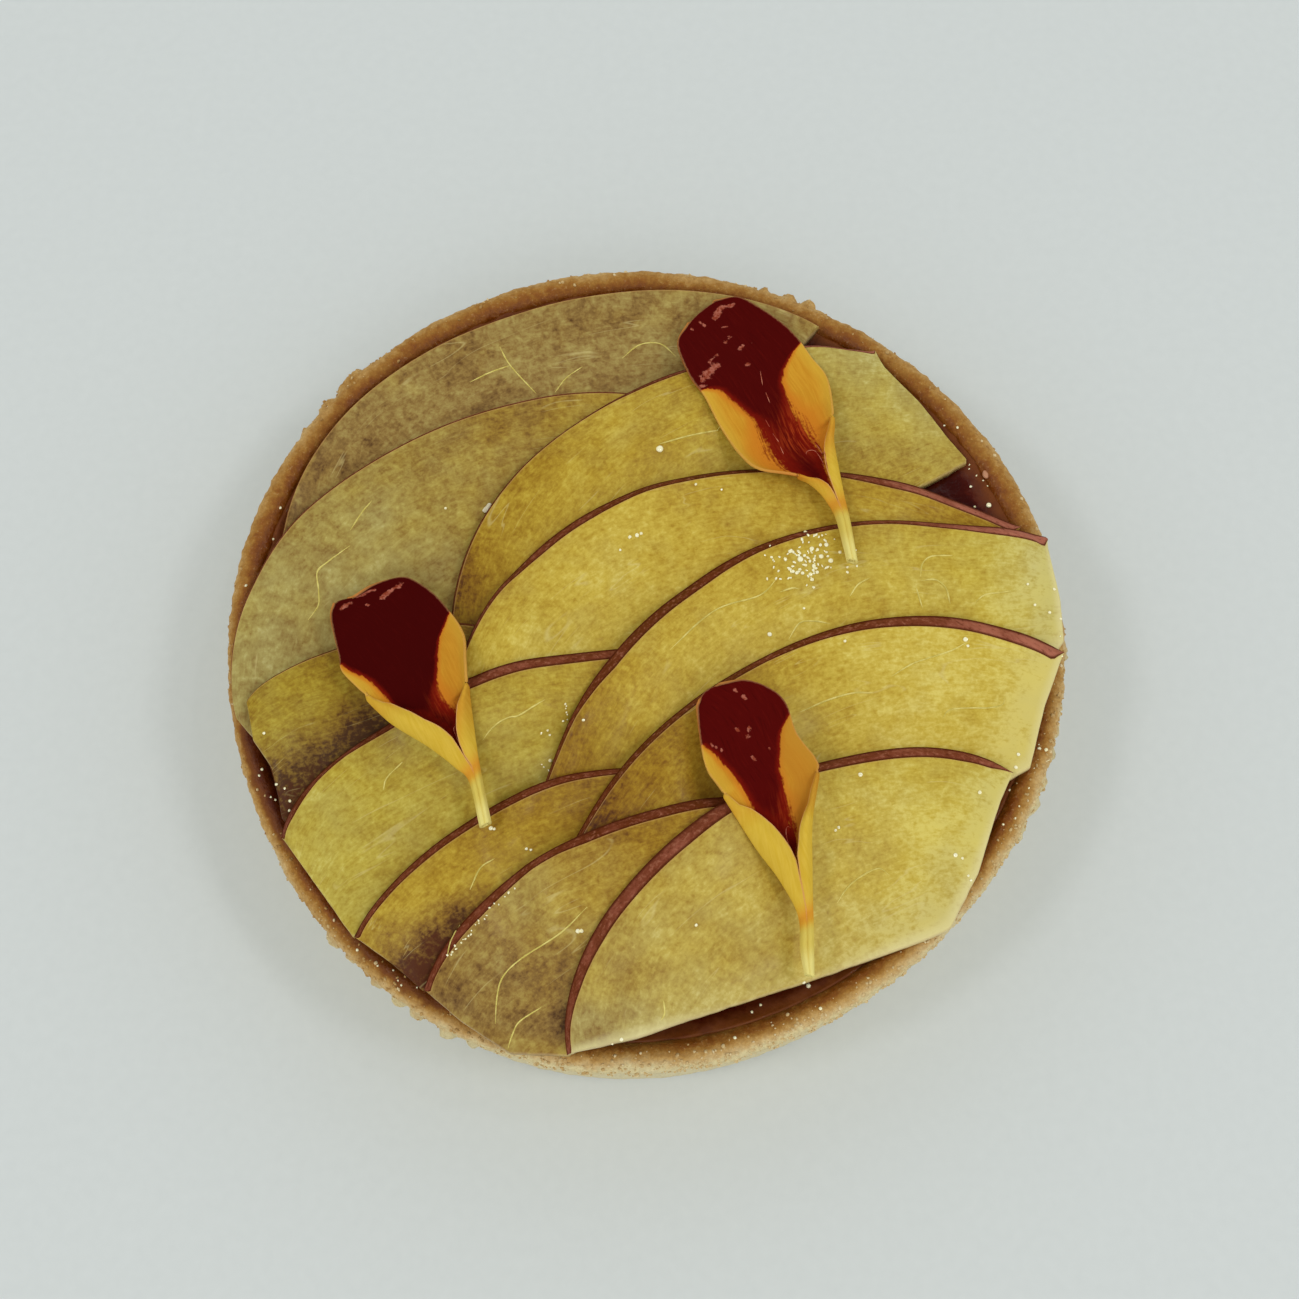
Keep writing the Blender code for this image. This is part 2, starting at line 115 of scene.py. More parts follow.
def between(value, low, high, start=0.0, end=1.0, smooth=True):
    """Value carried from the range low..high to start..end."""
    inputs = {"Value": value, 1: low, 2: high, 3: start, 4: end}
    kind = "SMOOTHSTEP" if smooth else "LINEAR"
    return add(value.id_data, "ShaderNodeMapRange", inputs, interpolation_type=kind).outputs[0]


def count(operation, first, second=0.0, third=0.0, clamp=False):
    """Sum, product or another operation on a socket's value and one or two more values."""
    inputs = {0: first, 1: second, 2: third}
    return add(first.id_data, "ShaderNodeMath", inputs, operation=operation, use_clamp=clamp).outputs[0]


def blended(share, first, second, blend="MIX"):
    """Colour between two colours, by the share that a socket gives."""
    inputs = {0: share, 6: first, 7: second}
    return add(share.id_data, "ShaderNodeMix", inputs, data_type="RGBA", blend_type=blend).outputs[2]


def ramp(value, stops):
    """Colour ramp with stops of place and linear colour."""
    made = add(value.id_data, "ShaderNodeValToRGB", {"Fac": value})
    band = made.color_ramp.elements
    while len(band) < len(stops):
        band.new(0.5)
    for element, (spot, colour) in zip(band, stops):
        element.position = spot
        element.color = (*colour, 1.0)
    return made.outputs[0]


def steps(value, *stops):
    """Colour ramp with stops of place and screen colour."""
    return ramp(value, [(spot, seen(*colour)) for spot, *colour in stops])


def attribute(tree, name):
    """Value that is stored with each of the mesh's points."""
    return add(tree, "ShaderNodeAttribute", attribute_name=name).outputs["Fac"]


# Adds spots of noise to a value. Every surface of the tartlet is uneven in this way, each by its own size
uneven_tree = bpy.data.node_groups.new("unevenness", "ShaderNodeTree")
for label, kind in (("Value", "Float"), ("Place", "Vector"), ("Spot size", "Float"), ("Detail", "Float"),
                    ("Swirl", "Float"), ("Amount", "Float")):
    uneven_tree.interface.new_socket(label, in_out="INPUT", socket_type="NodeSocket" + kind)
uneven_tree.interface.new_socket("Value", in_out="OUTPUT", socket_type="NodeSocketFloat")
given = uneven_tree.nodes.new("NodeGroupInput").outputs
spots = add(uneven_tree, "ShaderNodeTexNoise", {
    "Vector": given["Place"], "Detail": given["Detail"], "Roughness": 0.62, "Distortion": given["Swirl"],
    "Scale": add(uneven_tree, "ShaderNodeMath", {0: 1.0, 1: given["Spot size"]}, operation="DIVIDE").outputs[0],
}).outputs[0]
uneven_sum = count("MULTIPLY_ADD", count("SUBTRACT", spots, 0.5), given["Amount"], given["Value"])
fill(uneven_tree.nodes.new("NodeGroupOutput"), {"Value": uneven_sum})


def uneven(value, where, size, amount, detail=2.0, swirl=0.0):
    """Value with spots of a size in metres added to it, half of an amount up and half down."""
    return add(value.id_data, "ShaderNodeGroup", {
        "Value": value, "Place": where, "Spot size": size, "Detail": detail, "Swirl": swirl, "Amount": amount,
    }, node_tree=uneven_tree).outputs["Value"]


def dented(height, distance, strength=1.0):
    """Normal bent by a height; distance is the relief's depth in metres."""
    inputs = {"Height": height, "Distance": distance, "Strength": strength}
    return add(height.id_data, "ShaderNodeBump", inputs).outputs[0]


TABLE_WIDTH = 3.0
table_mesh = bpy.data.meshes.new("table_top")
half = TABLE_WIDTH / 2
corners = [(-half, -half, 0), (half, -half, 0), (half, half, 0), (-half, half, 0)]
table_mesh.from_pydata(corners, [], [(0, 1, 2, 3)])
table = new_object("table_top", table_mesh)
paint, tree, shader = new_material("table_paint")
tone = speckle(place(tree), 0.0012, 3.0)
colour = blended(tone, (0.640, 0.667, 0.664), (0.680, 0.707, 0.704))
fill(shader, {"Base Color": colour, "Roughness": 0.85, "Specular IOR Level": 0.2})
table_mesh.materials.append(paint)

# The room is bright all round and darker overhead, where the hand and the camera are. Its glow is given
# for the height of the direction, from the horizon at 0 to straight up at 1
ROOM_GLOW = ((0.0, 0.75), (0.55, 1.15), (0.80, 0.95), (0.93, 0.22), (1.0, 0.15))
ROOM_TINT = (0.965, 1.0, 0.975)
ROOM_SCALE = 0.5
ROOM_STRENGTH = 1.75
world = bpy.data.worlds.new("room")
world.use_nodes = True
tree = world.node_tree
direction = add(tree, "ShaderNodeTexCoord").outputs["Generated"]
upward = add(tree, "ShaderNodeSeparateXYZ", {"Vector": direction}).outputs["Z"]
glow = [(spot, tuple(level * ROOM_SCALE * tint for tint in ROOM_TINT)) for spot, level in ROOM_GLOW]
glow = ramp(upward, glow)
fill(tree.nodes["Background"], {"Color": glow, "Strength": ROOM_STRENGTH})
bpy.context.scene.world = world

# Name, compass angle and height angle of each lamp, its distance, width and power
LAMPS = (
    ("lamp_left", 195, 58, 1.0, 0.16, 1.0),
    ("lamp_right", -12, 58, 1.0, 0.16, 1.0),
    ("lamp_near", -80, 52, 1.1, 0.40, 1.0),
    ("lamp_spark", 20, 66, 1.2, 0.035, 0.3),
)
for name, compass, height, distance, width, power in LAMPS:
    data = bpy.data.lights.new(name, "AREA")
    data.shape = "DISK"
    data.size = width
    data.energy = power
    lamp = new_object(name, data)
    turn, rise = radians(compass), radians(height)
    lamp.location = Vector((cos(turn) * cos(rise), sin(turn) * cos(rise), sin(rise))) * distance
    lamp.rotation_mode = "QUATERNION"
    lamp.rotation_quaternion = lamp.location.to_track_quat("Z", "Y")

camera_data = bpy.data.cameras.new("camera")
camera_data.sensor_width = SENSOR
camera_data.lens = SENSOR * FOCAL_PIXELS / FRAME_PIXELS
camera_data.clip_start = 0.01
camera_data.clip_end = 10.0
camera = new_object("camera", camera_data)
camera.location = CAMERA_AIM + Vector((0.0, -sin(CAMERA_TILT), cos(CAMERA_TILT))) * CAMERA_DISTANCE
camera.rotation_euler = (CAMERA_TILT, 0.0, 0.0)
bpy.context.scene.camera = camera
bpy.context.scene.view_settings.view_transform = "Standard"


# ---------------------------------------------------------------------------------------------------
# Shell
# A cup of short dough, lined into a perforated ring and baked pale outside and tan on its rim. Dough
# pressed into the ring's holes left marks on the wall and beads near its top. Jam stained its inner side.
# ---------------------------------------------------------------------------------------------------

RIM_RADIUS = 0.04007
BASE_RADIUS = 0.0396
HEIGHT = 0.018
WALL = 0.0027
FLOOR = 0.003
RIM_ROUND = 0.0012
BASE_ROUND = 0.0008
FLOOR_CORNER = 0.002
FLOOR_RING = 0.012
BASE_STEPS = 4
WALL_STEPS = 22
RIM_STEPS = 26
INNER_PITCH = 0.0006
SHELL_STEPS = 1200
# Waves of the outline and of the rim's height: how many lie around the shell, how high, and where they crest
LOBES = (
    (1, 0.00017, radians(-81)), (2, 0.00013, radians(158)), (3, 0.00044, radians(37)), (4, 0.00015, radians(-50)),
)
RIM_WAVES = ((2, 0.00015, radians(20)), (5, 0.00012, radians(130)))
# Height, spot size, octaves and shift of each kind of roughness, everywhere and near the rim
DOUGH_GRAIN = ((0.00007, 0.0030, 3, 0.0), (0.00005, 0.0009, 2, 0.3))
COARSE_GRAIN = ((0.00016, 0.0010, 3, 0.7), (0.00010, 0.0030, 1, 0.9))
COARSE_HEIGHTS = (HEIGHT - 0.0045, HEIGHT - 0.0025)
# Beads of dough: half sizes out of, along and up the wall, and how much they differ
BEAD_PITCH = 0.0026
BEAD_HEIGHT = HEIGHT - 0.0025
BEAD_SIZE = (0.00085, 0.00120, 0.0012)
BEAD_SIZES = (0.60, 1.1)
BEAD_TURNS = (-0.010, 0.010)
BEAD_LIFTS = (-0.0005, 0.0004)
BEAD_STAND_OUT = -0.0003
BEAD_ROUGHNESS = 2.6
BEAD_ARCS = ((radians(-134), radians(-109)), (radians(-28), radians(-1)))
# Angle of each lump on the rim, and its half size out of and along the wall
RIM_LUMPS = (
    (radians(137.5), 0.00055, 0.00170), (radians(142.5), 0.00050, 0.00110), (radians(64.5), 0.00050, 0.00080),
    (radians(67.5), 0.00040, 0.00070), (radians(71.5), 0.00030, 0.00060),
)
LUMP_HEIGHT = HEIGHT - 0.0010
LUMP_HALF_HEIGHT = 0.0008
# Marks of the ring's other holes, which stand in staggered rows below the beads
HOLE_MARK = 0.0008
HOLE_REACH = 1.3
HOLE_DEPTH = 0.00010
HOLE_ROWS = 5
HOLE_ROW_PITCH = 0.87 * BEAD_PITCH


def waves(table, angle):
    """Sum of waves around the shell at an angle."""
    return sum(height * np.cos(turns * angle - crest) for turns, height, crest in table)


def rough(points, size, octaves=2):
    """Smooth random value from -1 to 1 at each point, with spots of a size."""
    flat = np.asarray(points).reshape(-1, 3) / size
    found = [noise.fractal(Vector(point), 1.0, 2.0, octaves) for point in flat]
    return np.array(found).reshape(np.shape(points)[:-1])


def grain(kinds, points):
    """Sum of several kinds of roughness at each point."""
    return sum(height * rough(points + shift, size, octaves) for height, size, octaves, shift in kinds)


def way_from(value, start, end):
    """How far a value is on the way from start to end, from 0 to 1."""
    return np.clip((value - start) / (end - start), 0, 1)


def table_at(table, spots):
    """Values of a table of place and value, between its entries and level beyond them."""
    place_list, value_list = zip(*table)
    return np.interp(spots, place_list, value_list)


def mesh_piece(name, points, faces, paints, faces_paint=None):
    """Object for a mesh of quads and triangles, shaded smooth."""
    data = bpy.data.meshes.new(name)
    data.from_pydata(np.asarray(points, float).reshape(-1, 3).tolist(), [], faces)
    for paint in paints:
        data.materials.append(paint)
    if faces_paint is not None:
        data.polygons.foreach_set("material_index", faces_paint)
    data.shade_smooth()
    data.validate()
    return new_object(name, data)


def keep_value(piece, name, values):
    """Store one value with each of the mesh's points."""
    stored = piece.data.attributes.new(name, "FLOAT", "POINT")
    stored.data.foreach_set("value", np.asarray(values, np.float32).ravel())


def ring_faces(rows, columns):
    """Faces of a grid whose columns close into a ring, and whose first and last row close onto two poles."""
    here = np.arange(rows * columns).reshape(rows, columns)
    there = np.roll(here, -1, axis=1)
    quads = np.stack([here[:-1], there[:-1], there[1:], here[1:]], axis=-1).reshape(-1, 4).tolist()
    poles = np.full(columns, rows * columns)
    first = np.stack([there[0], here[0], poles], -1).tolist()
    last = np.stack([here[-1], there[-1], poles + 1], -1).tolist()
    return quads + first + last


def shell_profile():
    """Radius and height of the shell's section, from the middle of its underside round to its floor."""
    outer = [(BASE_RADIUS - BASE_ROUND, 0.0)]
    for step in range(1, BASE_STEPS + 1):
        turn = pi / 2 * step / BASE_STEPS
        outer.append((BASE_RADIUS - BASE_ROUND + BASE_ROUND * sin(turn), BASE_ROUND - BASE_ROUND * cos(turn)))
    top = HEIGHT - RIM_ROUND
    for step in range(1, WALL_STEPS):
        share = step / WALL_STEPS
        outer.append((BASE_RADIUS + (RIM_RADIUS - BASE_RADIUS) * share, BASE_ROUND + (top - BASE_ROUND) * share))
    rim = []
    for step in range(RIM_STEPS + 1):
        turn = pi * step / RIM_STEPS
        rim.append((RIM_RADIUS - WALL / 2 + WALL / 2 * cos(turn), top + RIM_ROUND * sin(turn)))
    inside = RIM_RADIUS - WALL
    inner = [(inside, top - INNER_PITCH * step) for step in range(1, 5)]
    inner += [(inside, FLOOR), (inside - FLOOR_CORNER, FLOOR)]
    return np.array([(FLOOR_RING, 0.0), *outer, *rim, *inner, (FLOOR_RING, FLOOR)])


def bead_list():
    """Angle, radius, height and half sizes of each bead and lump of dough on the wall."""
    random = np.random.default_rng(5)
    beads = []
    for start, end in BEAD_ARCS:
        for angle in np.arange(start, end, BEAD_PITCH / RIM_RADIUS):
            size = np.array(BEAD_SIZE) * random.uniform(*BEAD_SIZES, 3)
            angle += random.uniform(*BEAD_TURNS)
            beads.append((angle, BEAD_STAND_OUT, BEAD_HEIGHT + random.uniform(*BEAD_LIFTS), size))
    for angle, out, along_rim in RIM_LUMPS:
        beads.append((angle, 0.0, LUMP_HEIGHT, np.array((out, along_rim, LUMP_HALF_HEIGHT))))
    return beads


profile = shell_profile()
angles = np.arange(SHELL_STEPS) / SHELL_STEPS * 2 * pi
radius = np.repeat(profile[:, :1], SHELL_STEPS, axis=1)
height = np.repeat(profile[:, 1:], SHELL_STEPS, axis=1)
turn = np.repeat(angles[None], len(profile), axis=0)
slope = np.gradient(profile, axis=0)
slope /= np.hypot(*slope.T)[:, None]
out, rise = slope[:, 1:] + 0 * turn, -slope[:, :1] + 0 * turn

on_wall = (height > BASE_ROUND) & (out > 0.5)
points = np.stack([radius * np.cos(turn), radius * np.sin(turn), height], -1)
near_rim = way_from(height, *COARSE_HEIGHTS) * np.clip(out, 0, 1)
push = grain(DOUGH_GRAIN, points) + grain(COARSE_GRAIN, points) * near_rim
for row in range(1, HOLE_ROWS + 1):
    level = BEAD_HEIGHT - row * HOLE_ROW_PITCH
    along_wall = (turn * RIM_RADIUS + row % 2 * BEAD_PITCH / 2) % BEAD_PITCH - BEAD_PITCH / 2
    reach = np.hypot(along_wall, height - level) / HOLE_MARK
    push += on_wall * HOLE_DEPTH * np.clip(HOLE_REACH - reach, 0, 1)
radius_moved = radius + out * push
height_moved = height + rise * push
for angle, stand, level, size in bead_list():
    aside = (turn - angle + pi) % (2 * pi) - pi
    reach = (aside * RIM_RADIUS / size[1]) ** 2 + ((height - level) / size[2]) ** 2
    bulge = RIM_RADIUS + stand + size[0] * np.sqrt(np.clip(1 - reach, 0, 1)) + BEAD_ROUGHNESS * push
    radius_moved = np.where((reach < 1) & (out > 0), np.maximum(radius_moved, bulge), radius_moved)
stretch = 1 + waves(LOBES, turn) * radius_moved / RIM_RADIUS**2
lift = waves(RIM_WAVES, turn) * np.clip(height - FLOOR, 0, 1) / (HEIGHT - FLOOR)
points = np.stack([
    radius_moved * np.cos(turn) * stretch,
    radius_moved * np.sin(turn) * stretch,
    np.maximum(height_moved + lift, 0.0),
], -1)

paint, tree, shader = new_material("baked_short_dough")
where = place(tree)
sandy = speckle(where, 0.0008, 4.0, 0.65)
fine = speckle(where, 0.00030, 2.0, 0.7)
spread = uneven(attribute(tree, "across_rim"), where, 0.0060, 0.50)
spread = uneven(spread, where, 0.0008, 0.62, 4.0)
baked = steps(
    between(spread, -0.5, 1.5, smooth=False),
    (0.00, 224, 210, 168), (0.20, 218, 200, 150), (0.28, 209, 178, 124), (0.38, 193, 152, 88), (0.50, 165, 116, 47),
    (0.60, 142, 84, 22), (0.70, 124, 63, 12), (0.80, 113, 50, 9), (1.00, 106, 36, 8),
)
baked = blended(between(fine, 0.38, 0.60, 0.17, 0.0), baked, seen(120, 78, 40), "MULTIPLY")
baked = blended(between(fine, 0.60, 0.72, 0.0, 0.17), baked, seen(222, 198, 146))
stain = uneven(attribute(tree, "stain"), where, 0.0014, 0.8, 3.0)
baked = blended(between(stain, 0.15, 0.45, 0.0, 0.85), baked, seen(112, 58, 16))
baked = blended(between(stain, 0.45, 0.90, 0.0, 0.90), baked, seen(78, 20, 5))
wet = between(spread, 0.55, 0.95)
fill(shader, {
    "Base Color": baked, "Roughness": between(wet, 0.0, 1.0, 0.75, 0.32), "Specular IOR Level": 0.25,
    "Normal": dented(count("ADD", sandy, fine), 0.00012, 0.8),
})

poles = [[0, 0, 0], [0, 0, FLOOR]]
shell = mesh_piece("baked_shell", np.concatenate([points.reshape(-1, 3), poles]),
                   ring_faces(len(profile), SHELL_STEPS), [paint])

# Browning of the rim's outer and inner side, and how much more it changes at the near side
RIM_TAN = 0.22
RIM_STAIN = 0.88
RIM_CONTRAST = 0.35
NEAR_SIDE = (0.35, -0.55)
# What the near side adds to the browning, by share of the rim's width from its outer side. The paler outer
# side is the dough's own colour; the paler inner edge is painted light that offsets the shade in the crease
# beside the jam
NEAR_BROWNING_AND_LIGHT = ((0.0, -0.95), (0.658, 0.3), (0.8, 0.3), (1.0, -0.5))
# How much browner the rim is at compass angles in degrees
RIM_SIDES = (
    (-180, 0.20), (-150, 0.28), (-125, 0.22), (-110, 0.04), (-92, -0.18), (-80, -0.16), (-60, -0.07), (-34, -0.04),
    (-14, 0.05), (10, 0.0), (90, -0.02), (132, 0.05), (150, 0.0), (168, 0.08), (180, 0.20),
)
# How much jam stains the rim's inner half at compass angles in degrees
JAM_STAINS = (
    (-170, 0.0), (-165, 0.8), (-150, 0.7), (-146, 0.2), (-134, 0.1), (-130, 0.5), (-119, 0.6), (-115, 0.2),
    (-108, 0.0),
)
STAIN_ACROSS = (0.05, 0.60)
WALL_FADE = 0.004
PALE_OUTSIDE = 0.5
BROWN_INSIDE = 0.35
JAM_LEVEL = 0.0164
STAIN_BELOW_JAM = 0.002

compass = np.degrees((turn + pi) % (2 * pi) - pi)
rim_share = (RIM_RADIUS - radius) / WALL
below = way_from(height, HEIGHT - RIM_ROUND, HEIGHT - RIM_ROUND - WALL_FADE)
near_side = way_from(np.sin(turn), *NEAR_SIDE)
browning = RIM_TAN + (RIM_STAIN - RIM_TAN) * rim_share + table_at(RIM_SIDES, compass)
# Painted light: at the near side the rim's inner edge is painted lighter and its inner wall browns less, which
# offsets the shade in the crease beside the jam
browning += near_side * RIM_CONTRAST * table_at(NEAR_BROWNING_AND_LIGHT, rim_share)
browning += below * np.where(rim_share < 0.5, -PALE_OUTSIDE, BROWN_INSIDE * (1 - near_side))
keep_value(shell, "across_rim", np.concatenate([browning.ravel(), [0, 1]]))
stain = table_at(JAM_STAINS, compass) * way_from(rim_share, *STAIN_ACROSS)
stain *= height > JAM_LEVEL - STAIN_BELOW_JAM
keep_value(shell, "stain", np.concatenate([stain.ravel(), [0, 0]]))
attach(shell, "root")
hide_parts("tart_shell")


# ---------------------------------------------------------------------------------------------------
# Jam
# Dark red berry jam fills the cup to just under its rim. It is glossy and slightly uneven, creeps up the
# wall, and shows between the fruit and the rim at the right, at the left and along the near side.
# ---------------------------------------------------------------------------------------------------

JAM_RISE_AT_WALL = 0.0004
JAM_WAVE = 0.00015
JAM_WAVE_LENGTH = 0.017
JAM_STEPS = 300
JAM_BOTTOM = FLOOR + 0.0003
JAM_RADIUS = RIM_RADIUS - WALL + 0.00012
JAM_LUMPS = ((0.00010, 0.0022, 2, 0.0), (0.00004, 0.0008, 1, 0.5))
# The smear up the wall: its height, the share of the radius where it starts, and how ragged it is
JAM_SMEAR = 0.00055
JAM_SMEAR_START = 0.90
JAM_SMEAR_RAGGED = 0.6
JAM_THIN = (0.935, 0.995)


def jam_height(x, y):
    """Level of the jam, slightly uneven and drawn up towards the wall."""
    wave = JAM_WAVE * np.sin(x / JAM_WAVE_LENGTH * 2 * pi + 1) * np.cos(y / JAM_WAVE_LENGTH * 2 * pi)
    edge_shade_and_lip = (np.hypot(x, y) / (RIM_RADIUS - WALL)) ** 8
    return JAM_LEVEL + wave * (1 - edge_shade_and_lip) + JAM_RISE_AT_WALL * edge_shade_and_lip


shares = np.concatenate([np.linspace(0.03, 0.72, 24), np.linspace(0.73, 1.0, 42)])
turn, share = np.meshgrid(np.arange(JAM_STEPS) / JAM_STEPS * 2 * pi, shares)
x, y = JAM_RADIUS * share * np.cos(turn), JAM_RADIUS * share * np.sin(turn)
stretch = 1 + waves(LOBES, turn) * JAM_RADIUS * share / RIM_RADIUS**2
flat = np.stack([x, y, 0 * x], -1)
smeared = JAM_SMEAR * way_from(share, JAM_SMEAR_START, 1) ** 2
smeared *= 1 + JAM_SMEAR_RAGGED * rough(flat + 0.2, 0.0016, 2)
level = jam_height(x, y) + grain(JAM_LUMPS, flat) + smeared
level += waves(RIM_WAVES, turn) * (JAM_LEVEL - FLOOR) / (HEIGHT - FLOOR)
top = np.stack([x * stretch, y * stretch, level], -1)
low = top[-1].copy()
low[:, 2] = JAM_BOTTOM
points = np.concatenate([top.reshape(-1, 3), low, [[0, 0, JAM_LEVEL], [0, 0, JAM_BOTTOM]]])

paint, tree, shader = new_material("berry_jam")
where = place(tree)
pulp = speckle(where, 0.0016, 3.0, 0.6)
clear = speckle(where, 0.0006, 2.0)
thin = uneven(attribute(tree, "thin"), where, 0.0016, 1.0, 4.0)
colour = steps(thin, (0.00, 56, 8, 2), (0.30, 68, 14, 3), (0.55, 88, 34, 4), (1.00, 114, 57, 10))
colour = blended(between(pulp, 0.52, 0.72, 0.0, 0.35), colour, seen(88, 26, 8))
fill(shader, {
    "Base Color": colour, "Roughness": between(thin, 0.1, 0.8, 0.16, 0.60), "Specular IOR Level": 0.22,
    "Coat Weight": 0.08, "Coat Roughness": 0.06, "Normal": dented(count("ADD", clear, pulp), 0.00008),
})
jam = mesh_piece("berry_jam", points, [face[::-1] for face in ring_faces(len(shares) + 1, JAM_STEPS)], [paint])
thin = way_from(share, *JAM_THIN)
keep_value(jam, "thin", np.concatenate([thin.ravel(), np.ones(JAM_STEPS), [0, 0]]))
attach(jam, "root")
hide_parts("jam_filling")


# ---------------------------------------------------------------------------------------------------
# Peach slices
# Eleven slices, a millimetre thick, cut from a yellow peach with its skin on and shingled over the jam.
# Their round edge keeps a band of brick red skin. The flesh is wet, mottled and thin enough to show
# the dark jam where nothing else lies below it. Where it hangs over the rim it is painted paler, a painted
# light that stands for light shining through the thin flesh there.
# ---------------------------------------------------------------------------------------------------

MM = 0.001
SLICE_ROWS = 18
SLICE_COLUMNS = 6
TIP_BLUNTNESS = 0.0007
